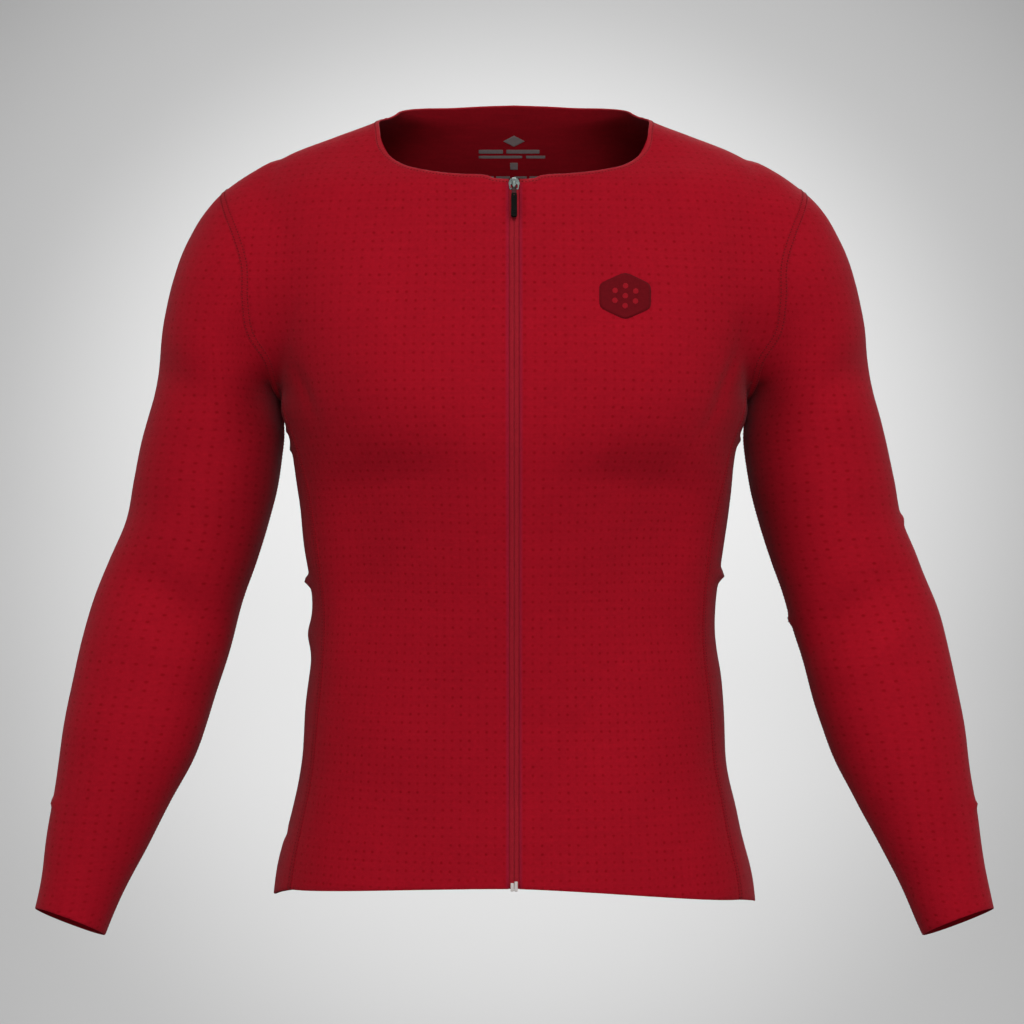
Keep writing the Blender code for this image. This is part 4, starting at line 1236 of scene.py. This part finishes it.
def add_tapes(front):
    points, out = centre_frame(front)
    rise = creasing(points, out)[:, None] * out
    for side, flip in (("left", 1), ("right", -1)):
        columns = [points + rise + (flip * x, 0, 0) + depth * out for x, depth in TAPE_SECTION]
        outer = np.stack(columns, axis=1)
        inner = outer - TAPE_WALL * out[:, None]
        uv = steps_along(outer, 0, np.full(outer.shape[:2], TAPE_ROW))
        uv = np.stack([uv, uv], axis=-1)
        name = f"zip_tape_{side}"
        tape = closed_sheet(f"{name}_weave", outer, inner, uv, LOOKS["tape"], rim=0.00005)
        on_jersey(tape, "zip_tape", name)


def add_coils(front):
    """Two wires wound in turns that reach into each other."""
    points, out = centre_frame(front)
    points = points + creasing(points, out)[:, None] * out
    travelled = travel(points)
    for side, flip, phase in (("left", 1, 0.0), ("right", -1, math.pi)):
        turns = (travelled[-1] - COIL_SHORTER) / COIL_PITCH
        angle = np.arange(int(turns * COIL_TURN_STEPS)) * 2 * math.pi / COIL_TURN_STEPS
        along = COIL_START + COIL_PITCH * (angle + phase) / (2 * math.pi)
        base = at_distances(along, travelled, points)
        normal = unit(at_distances(along, travelled, out))
        across, depth = np.cos(angle + phase), np.sin(angle + phase)
        x = flip * (COIL_MIDDLE[0] + COIL_REACH[0] * across)
        wire = base + x[:, None] * (1, 0, 0) + (COIL_MIDDLE[1] + COIL_REACH[1] * depth)[:, None] * normal
        radial = unit((flip * across)[:, None] * (1, 0, 0) + depth[:, None] * normal)
        beside = unit(np.cross(unit(np.gradient(wire, axis=0)), radial))
        turn = np.arange(5) * 2 * math.pi / 5
        loops = [wire + COIL_WIRE * (math.cos(a) * radial + math.sin(a) * beside) for a in turn]
        on_jersey(add_tube(f"zip_coil_{side}", np.stack(loops, 1), LOOKS["coil"]), "zip_coil")
    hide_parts("zip_coil")


# ---------------------------------------------------------------- slider, pull tab and end stops

# These are drawn around the pull tab's pivot: across, up along the cloth, and out from it. The names
# with OUT say from where to where a piece reaches outwards.
# Half of the slider's face: height, and half width there.
FACE_HALF = [
    (0.0080, 0.0009),
    (0.0077, 0.0017),
    (0.0068, 0.0027),
    (0.0054, 0.0036),
    (0.0038, 0.0041),
    (0.0026, 0.0040),
    (0.0010, 0.0036),
    (-0.0012, 0.0034),
    (-0.0021, 0.0030),
]
FACE_HALF_WIDTH = max(width for _, width in FACE_HALF)
FACE_OUT = (-0.0021, -0.0009)
FACE_DROP = 0.0005  # how much lower the face is at its sides than in its middle
SLOT = [(0.0014, 0.0021), (0.0025, 0.0021), (0.0026, -0.0009), (0.0019, -0.0012)]
SLOT_OUT = (-0.0030, 0.0010)
# The bridge's upper part is wider than the part between the tab's arms. Heights and how far out.
BRIDGE = [(0.0062, -0.0012), (0.0062, 0.0006), (0.0050, 0.0016), (0.0008, 0.0018), (-0.0008, 0.0016),
          (-0.0016, 0.0008), (-0.0016, -0.0012), (-0.0009, -0.0012), (-0.0009, 0.0009), (0.0009, 0.0010),
          (0.0040, 0.0009), (0.0046, -0.0012)]
BRIDGE_HALF_WIDTH = 0.00088
CROWN = [(0.0066, -0.0012), (0.0066, 0.0004), (0.0052, 0.0017), (0.0030, 0.00185), (0.0023, 0.0010),
         (0.0040, 0.0009), (0.0046, -0.0012)]
CROWN_HALF_WIDTH = 0.0014
# The right halves, across and up, of outlines that are the same on both sides.
POST_HALF = [(0.0010, 0.0066), (0.0010, 0.0078)]
BACK_PLATE_HALF = [(0.0033, -0.0008), (0.0033, 0.0050), (0.0022, 0.0078)]
BACK_OUT = (-0.0075, -0.0065)
POST_OUT = (BACK_OUT[0] + 0.0004, FACE_OUT[0] + 0.0005)  # it ends inside the back plate and the face
FLANGE = [(0.0027, -0.0008), (0.0033, -0.0008), (0.0033, 0.0048), (0.0027, 0.0048)]
FLANGE_OUT = (-0.0068, -0.0056)

TAB_BAR_RADIUS = 0.0006
TAB_BAR_HALF_WIDTH = 0.0017
TAB_NECK_HALF = [(0.0017, -0.0005), (0.0018, -0.0080)]
TAB_NECK_OUT = (-0.0006, 0.0006)
TAB_EYE_HALF = [(0.00105, -0.0005), (0.00105, -0.0033)]
TAB_EYE_OUT = (-0.002, 0.002)
TAB_GRIP_HALF = [(0.0014, -0.0062), (0.0020, -0.0070), (0.0022, -0.0090), (0.0021, -0.0160),
                 (0.0022, -0.0240), (0.0018, -0.0253), (0.0009, -0.0258)]
TAB_GRIP_OUT = (-0.0017, 0.0007)
TAB_GROOVES = [-0.0105, -0.0125, -0.0215, -0.0235]
TAB_GROOVE_SIZE = (0.0013, 0.00025)  # half width and half height
TAB_GROOVE_OUT = (TAB_GRIP_OUT[1] - 0.00035, 0.002)
TAB_DIMPLE = (-0.0080, 0.0006)  # its height and radius
TAB_DIMPLE_OUT = (TAB_GRIP_OUT[1] - 0.0004, 0.002)
END_STOP_ROUNDING = 0.0005


ROUNDED_FROM = math.radians(30)  # edges that turn by more than this are rounded
SHARP_FROM = math.radians(40)  # and those that still turn by more than this are shaded as sharp


def extruded(outline, low, high, along_x=False):
    """A helper solid: an outline of (across, up) points from low to high outwards, or one of (up, out)
    points from low to high across."""
    if along_x:
        corners = [(low, out, up) for up, out in outline]
        way = (high - low, 0, 0)
    else:
        corners = [(x, low, up) for x, up in outline]
        way = (0, high - low, 0)
    mesh = bpy.data.meshes.new("helper")
    with reworking(mesh) as bm:
        face = bm.faces.new([bm.verts.new(corner) for corner in corners])
        grown = bmesh.ops.extrude_face_region(bm, geom=[face])["geom"]
        far_side = [item for item in grown if isinstance(item, bmesh.types.BMVert)]
        bmesh.ops.translate(bm, verts=far_side, vec=way)
        bmesh.ops.recalc_face_normals(bm, faces=bm.faces)
    return placed("helper", mesh)


def disc(middle, radius, steps=16):
    """The outline of a circle around an (across, up) point."""
    turn = [2 * math.pi * k / steps for k in range(steps)]
    return [(middle[0] + radius * math.cos(a), middle[1] + radius * math.sin(a)) for a in turn]


def built(name, material, added, cut=(), bevel=0.0, shape=None):
    """One solid from helper solids, rounded, shaped, and stood on the pivot. The helpers are removed."""
    whole = added[0]
    for operation, helpers in (("UNION", added[1:]), ("DIFFERENCE", cut)):
        for helper in helpers:
            change = whole.modifiers.new("join", "BOOLEAN")
            change.solver = "EXACT"
            change.operation = operation
            change.object = helper
    if bevel:
        rounding = whole.modifiers.new("round", "BEVEL")
        rounding.width = bevel
        rounding.segments = 3
        rounding.limit_method = "ANGLE"
        rounding.angle_limit = ROUNDED_FROM
    graph = bpy.context.evaluated_depsgraph_get()
    mesh = bpy.data.meshes.new_from_object(whole.evaluated_get(graph))
    mesh.name = name
    for helper in [*added, *cut]:
        bpy.data.objects.remove(helper)
    points = np.array([vertex.co for vertex in mesh.vertices])
    if shape:
        points = shape(points)
    pivot, up, out = PIVOT_FRAME
    mesh.vertices.foreach_set("co", (pivot + points @ np.stack([(1, 0, 0), out, up])).ravel())
    mesh.materials.clear()
    mesh.materials.append(material)
    mesh.shade_smooth()
    mesh.set_sharp_from_angle(angle=SHARP_FROM)
    return placed(name, mesh)


def domed(points):
    """The slider's face, lower at its sides."""
    drop = FACE_DROP * (points[:, 0] / FACE_HALF_WIDTH) ** 2
    points[:, 1] -= np.where(points[:, 1] > sum(FACE_OUT) / 2, drop, 0)
    return points


def flipped(outline):
    """An (across, up) outline's mirror image."""
    return [(-x, up) for x, up in outline]


def both(half):
    """A whole outline from its right half."""
    return half + flipped(half)[::-1]


def add_slider():
    face = [extruded(both([(width, up) for up, width in FACE_HALF]), *FACE_OUT)]
    slots = [extruded(outline, *SLOT_OUT) for outline in (SLOT, flipped(SLOT))]
    face = built("slider_face", LOOKS["metal"], face, slots, bevel=0.00028, shape=domed)
    bridge = [
        extruded(BRIDGE, -BRIDGE_HALF_WIDTH, BRIDGE_HALF_WIDTH, True),
        extruded(CROWN, -CROWN_HALF_WIDTH, CROWN_HALF_WIDTH, True),
    ]
    bridge = built("slider_bridge", LOOKS["metal"], bridge, bevel=0.00022)
    back = [
        extruded(both(BACK_PLATE_HALF), *BACK_OUT),
        extruded(both(POST_HALF), *POST_OUT),
        extruded(FLANGE, *FLANGE_OUT),
        extruded(flipped(FLANGE), *FLANGE_OUT),
    ]
    back = built("slider_back", LOOKS["metal"], back, bevel=0.00018)
    for piece in (face, bridge, back):
        on_jersey(piece, "slider_metal")
    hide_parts("zip_slider")


def groove(height):
    """The outline of a level groove in the grip."""
    x, up = TAB_GROOVE_SIZE
    return both([(x, height - up), (x, height + up)])


def add_pull_tab():
    bar = extruded(disc((0, 0), TAB_BAR_RADIUS), -TAB_BAR_HALF_WIDTH, TAB_BAR_HALF_WIDTH, True)
    neck = [extruded(both(TAB_NECK_HALF), *TAB_NECK_OUT), bar]
    eye = [extruded(both(TAB_EYE_HALF), *TAB_EYE_OUT)]
    neck = built("tab_neck", LOOKS["tab_neck"], neck, eye, bevel=0.00015)
    hollows = [extruded(groove(height), *TAB_GROOVE_OUT) for height in TAB_GROOVES]
    hollows.append(extruded(disc((0, TAB_DIMPLE[0]), TAB_DIMPLE[1]), *TAB_DIMPLE_OUT))
    grip = [extruded(both(TAB_GRIP_HALF), *TAB_GRIP_OUT)]
    grip = built("tab_grip", LOOKS["grip"], grip, hollows, bevel=0.00035)
    for piece in (neck, grip):
        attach(piece, "tab")
    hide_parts("pull_tab")


def add_end_stops():
    """The zip's bottom ends: their own solids, with rounded edges."""
    for node in ("zip_box", "zip_pin"):
        mesh = frame["nodes"][node].data.copy()
        with reworking(mesh) as bm:
            bmesh.ops.remove_doubles(bm, verts=bm.verts, dist=1e-6)
            bmesh.ops.dissolve_limit(bm, angle_limit=0.01, verts=bm.verts, edges=bm.edges)
            rounding = {"offset": END_STOP_ROUNDING, "segments": 3, "affect": "EDGES", "profile": 0.5}
            bmesh.ops.bevel(bm, geom=bm.edges, **rounding)
        mesh.materials.clear()
        mesh.materials.append(LOOKS["stop"])
        mesh.shade_smooth()
        on_jersey(placed(f"{node}_end", mesh), "end_stops", node)


# ---------------------------------------------------------------- badge and neck print

BADGE_PLACE = (0.0791, -0.1401)  # across and up
BADGE_SIZE = (0.0185, 0.0150)  # half width and half height
BADGE_RING = (0.0085, 0.0072)  # the same for its ring of dots
BADGE_RING_TURN = 0.5
BADGE_DOT = 0.0021
PRINT_HEIGHT = -0.0170
# How many outlines lie inside each other in a shape of film, and the points of each.
FILM_RINGS = 8
FILM_POINTS = 48
BOX_SHARPNESS = 40  # how sharp the corners of a box are, and those of other shapes
SHARPNESS = 14
# How far out from the cloth each film lies, and how thick it is.
BADGE_FILM = (0.00002, 0.00028)
DOTS_FILM = (0.00030, 0.00018)
PRINT_FILM = (-CLOTH - 0.00014, 0.00012)
# Shapes of the print inside the back's neck: middle across and up, half width and half height, and how
# many sides: 4 for an upright box, -4 for a diamond.
PRINT_SHAPES = [
    (0.0000, 0.0118, 0.0085, 0.0042, -4),
    (-0.0180, 0.0040, 0.0095, 0.0014, 4),
    (0.0070, 0.0040, 0.0130, 0.0014, 4),
    (-0.0105, 0.0000, 0.0170, 0.0010, 4),
    (0.0170, 0.0000, 0.0075, 0.0010, 4),
    (0.0000, -0.0068, 0.0030, 0.0026, 4),
    (-0.0200, -0.0150, 0.0042, 0.0008, 4),
    (-0.0085, -0.0150, 0.0055, 0.0008, 4),
    (0.0050, -0.0150, 0.0050, 0.0008, 4),
    (0.0180, -0.0150, 0.0058, 0.0008, 4),
]


def film(shapes, place, front, out, wall):
    """Points and faces of flat shapes, given as the print's are, laid on the front or the back around a
    place, this far out from the cloth and this thick. Shapes of many sides come out round."""
    rings = np.linspace(0, 1, FILM_RINGS)
    turn = np.arange(FILM_POINTS) * 2 * math.pi / FILM_POINTS
    points, faces = [], []
    for x, up, half_width, half_height, sides in shapes:
        count = abs(sides)
        first = math.pi / count if sides < 0 else 0
        ways = first + np.arange(count) * 2 * math.pi / count
        sharp = BOX_SHARPNESS if count == 4 else SHARPNESS
        reach = (np.clip(np.cos(turn[:, None] - ways), 0, 1) ** sharp).sum(1) ** (-1 / sharp)
        reach *= math.cos(first)
        flat_x = place[0] + x + rings[:, None] * (half_width * reach * np.cos(turn))
        flat_z = place[1] + up + rings[:, None] * (half_height * reach * np.sin(turn))
        base = on_body(flat_x.ravel(), flat_z.ravel(), front).reshape(*flat_x.shape, 3)
        sheets = [on_cloth(base, out + share * wall)[0] for share in (1, 0)]
        loops = np.concatenate([sheets[0], sheets[1][::-1]])
        start = sum(len(item) for item in points)
        points.append(loops.reshape(-1, 3))
        faces += (loop_faces(len(loops), len(turn), False) + start).tolist()
    return np.vstack(points), faces


def add_film(name, shapes, place, front, film_out, look):
    points, faces = film(shapes, place, front, *film_out)
    piece = add_piece(name, points, faces, LOOKS[look])
    with reworking(piece.data) as bm:
        bmesh.ops.remove_doubles(bm, verts=bm.verts, dist=1e-6)
        bmesh.ops.recalc_face_normals(bm, faces=bm.faces)
    return on_jersey(piece, "knit")


def add_prints():
    add_film("badge", [(0, 0, *BADGE_SIZE, 6)], BADGE_PLACE, True, BADGE_FILM, "badge")
    width, height = BADGE_RING
    turn = np.arange(6) * math.pi / 3 + BADGE_RING_TURN
    ring = [(width * math.cos(a), height * math.sin(a)) for a in turn]
    dots = [(x, up, BADGE_DOT, BADGE_DOT, 24) for x, up in [(0, 0), *ring]]
    add_film("badge_dots", dots, BADGE_PLACE, True, DOTS_FILM, "badge_dots")
    add_film("neck_print", PRINT_SHAPES, (0, PRINT_HEIGHT), False, PRINT_FILM, "print")


# ---------------------------------------------------------------- stage, lights and camera

# A bowl around the object, in which every view looks onto pale grey: distance out, and height.
BOWL = [(0.0, -1.90), (2.4, -1.90), (3.3, -1.85), (4.0, -1.60), (4.3, -1.05), (4.38, 0.10), (4.40, 4.20)]
BOWL_SIDES = 96
STUDIO_GREY = (0.62, 0.62, 0.62)
CAMERA_PLACE = (-0.0015, -2.0, -0.294)
CAMERA_LENS = 93.76
CAMERA_SENSOR = 36
# Soft round lamps: place, the point each is aimed at, size, and power.
LAMPS = {
    "key": ((0.35, -2.5, 1.90), (0, 0, -0.30), 2.0, 61),
    "fill": ((0.2, -2.9, -0.7), (0, 0, -0.45), 2.0, 16),
    "side_left": ((2.5, -1.3, 0.1), (0.1, 0, -0.3), 1.2, 4),
    "side_right": ((-2.5, -1.3, 0.1), (-0.1, 0, -0.3), 1.2, 5),
    "rim_left": ((2.6, 0.9, 0.6), (0.1, 0, -0.3), 1.2, 8),
    "rim_right": ((-2.6, 0.9, 0.6), (-0.1, 0, -0.3), 1.2, 8),
    "back": ((0.3, 2.8, 1.6), (0, 0, -0.3), 1.8, 64),
}
# Spots onto the bowl's wall, two on each of four sides: how far out and how high they hang and aim, and
# the width in degrees and power of each.
WALL_LIGHT = ((0.5, 1.4), (4.3, -0.30))
WALL_SPOTS = [(66, 445), (37, 375)]
WORLD_LIGHT = 0.14


def add_stage():
    turn = np.arange(BOWL_SIDES) * 2 * math.pi / BOWL_SIDES
    profile = resampled(np.array(BOWL), 6)
    loops = [np.column_stack([r * np.cos(turn), r * np.sin(turn), 0 * turn + z]) for r, z in profile[1:]]
    points = np.vstack([np.concatenate(loops), [(0, 0, BOWL[0][1])]])
    faces = loop_faces(len(loops), len(turn), False).tolist()
    faces += [(len(points) - 1, (k + 1) % len(turn), k) for k in range(len(turn))]
    look = Look("studio_grey", STUDIO_GREY, 0.9)
    look.tint(STUDIO_GREY, look.spread(look.noise(0.8, 1.0), 0.985, 1.015))
    mesh = bpy.data.meshes.new("studio_floor")
    mesh.from_pydata(points.tolist(), [], faces)
    mesh.materials.append(look.material)
    mesh.shade_smooth()
    bowl = placed("studio_floor", mesh)
    bowl.visible_diffuse = False
    bowl.visible_shadow = False


def add_lamp(name, kind, place, at, power, **settings):
    lamp = bpy.data.lights.new(name, kind)
    lamp.energy = power
    for key, value in settings.items():
        setattr(lamp, key, value)
    light = placed(name, lamp)
    light.location = place
    light.rotation_euler = (Vector(at) - Vector(place)).to_track_quat("-Z", "Y").to_euler()


def add_lights():
    for name, (place, at, size, power) in LAMPS.items():
        add_lamp(name, "AREA", place, at, power, shape="DISK", size=size)
    (near, high), (far, low) = WALL_LIGHT
    for x, y in ((0, 1), (0, -1), (1, 0), (-1, 0)):
        for width, power in WALL_SPOTS:
            place, at = (near * x, near * y, high), (far * x, far * y, low)
            add_lamp("wall", "SPOT", place, at, power, spot_size=math.radians(width), spot_blend=1.0)
    world = bpy.data.worlds.new("studio")
    world.use_nodes = True
    background = world.node_tree.nodes["Background"].inputs
    background["Color"].default_value = (1, 1, 1, 1)
    background["Strength"].default_value = WORLD_LIGHT
    bpy.context.scene.world = world


def add_camera():
    camera = bpy.data.cameras.new("camera")
    camera.lens = CAMERA_LENS
    camera.sensor_width = CAMERA_SENSOR
    view = placed("camera", camera)
    view.location = CAMERA_PLACE
    view.rotation_euler = (math.pi / 2, 0, 0)
    bpy.context.scene.camera = view


def pivot_frame(front):
    """The pull tab's pivot, and the ways up along the cloth and out of it there."""
    joint = frame["joints"][0]
    run = unit((front[-1, 0] - front[-1 - FINE_UP, 0]) * (0, 1, 1))
    return np.array(joint["pos_m"]), run, np.cross(run, (-1, 0, 0))


grids = fine_garment()
PIVOT_FRAME = pivot_frame(grids["front_left"])
add_camera()
add_garment(grids)
add_pocket(grids["back"])
add_tapes(grids["front_left"])
add_coils(grids["front_left"])
add_slider()
add_pull_tab()
add_end_stops()
add_prints()
add_stage()
add_lights()
bpy.context.scene.view_settings.view_transform = "Standard"
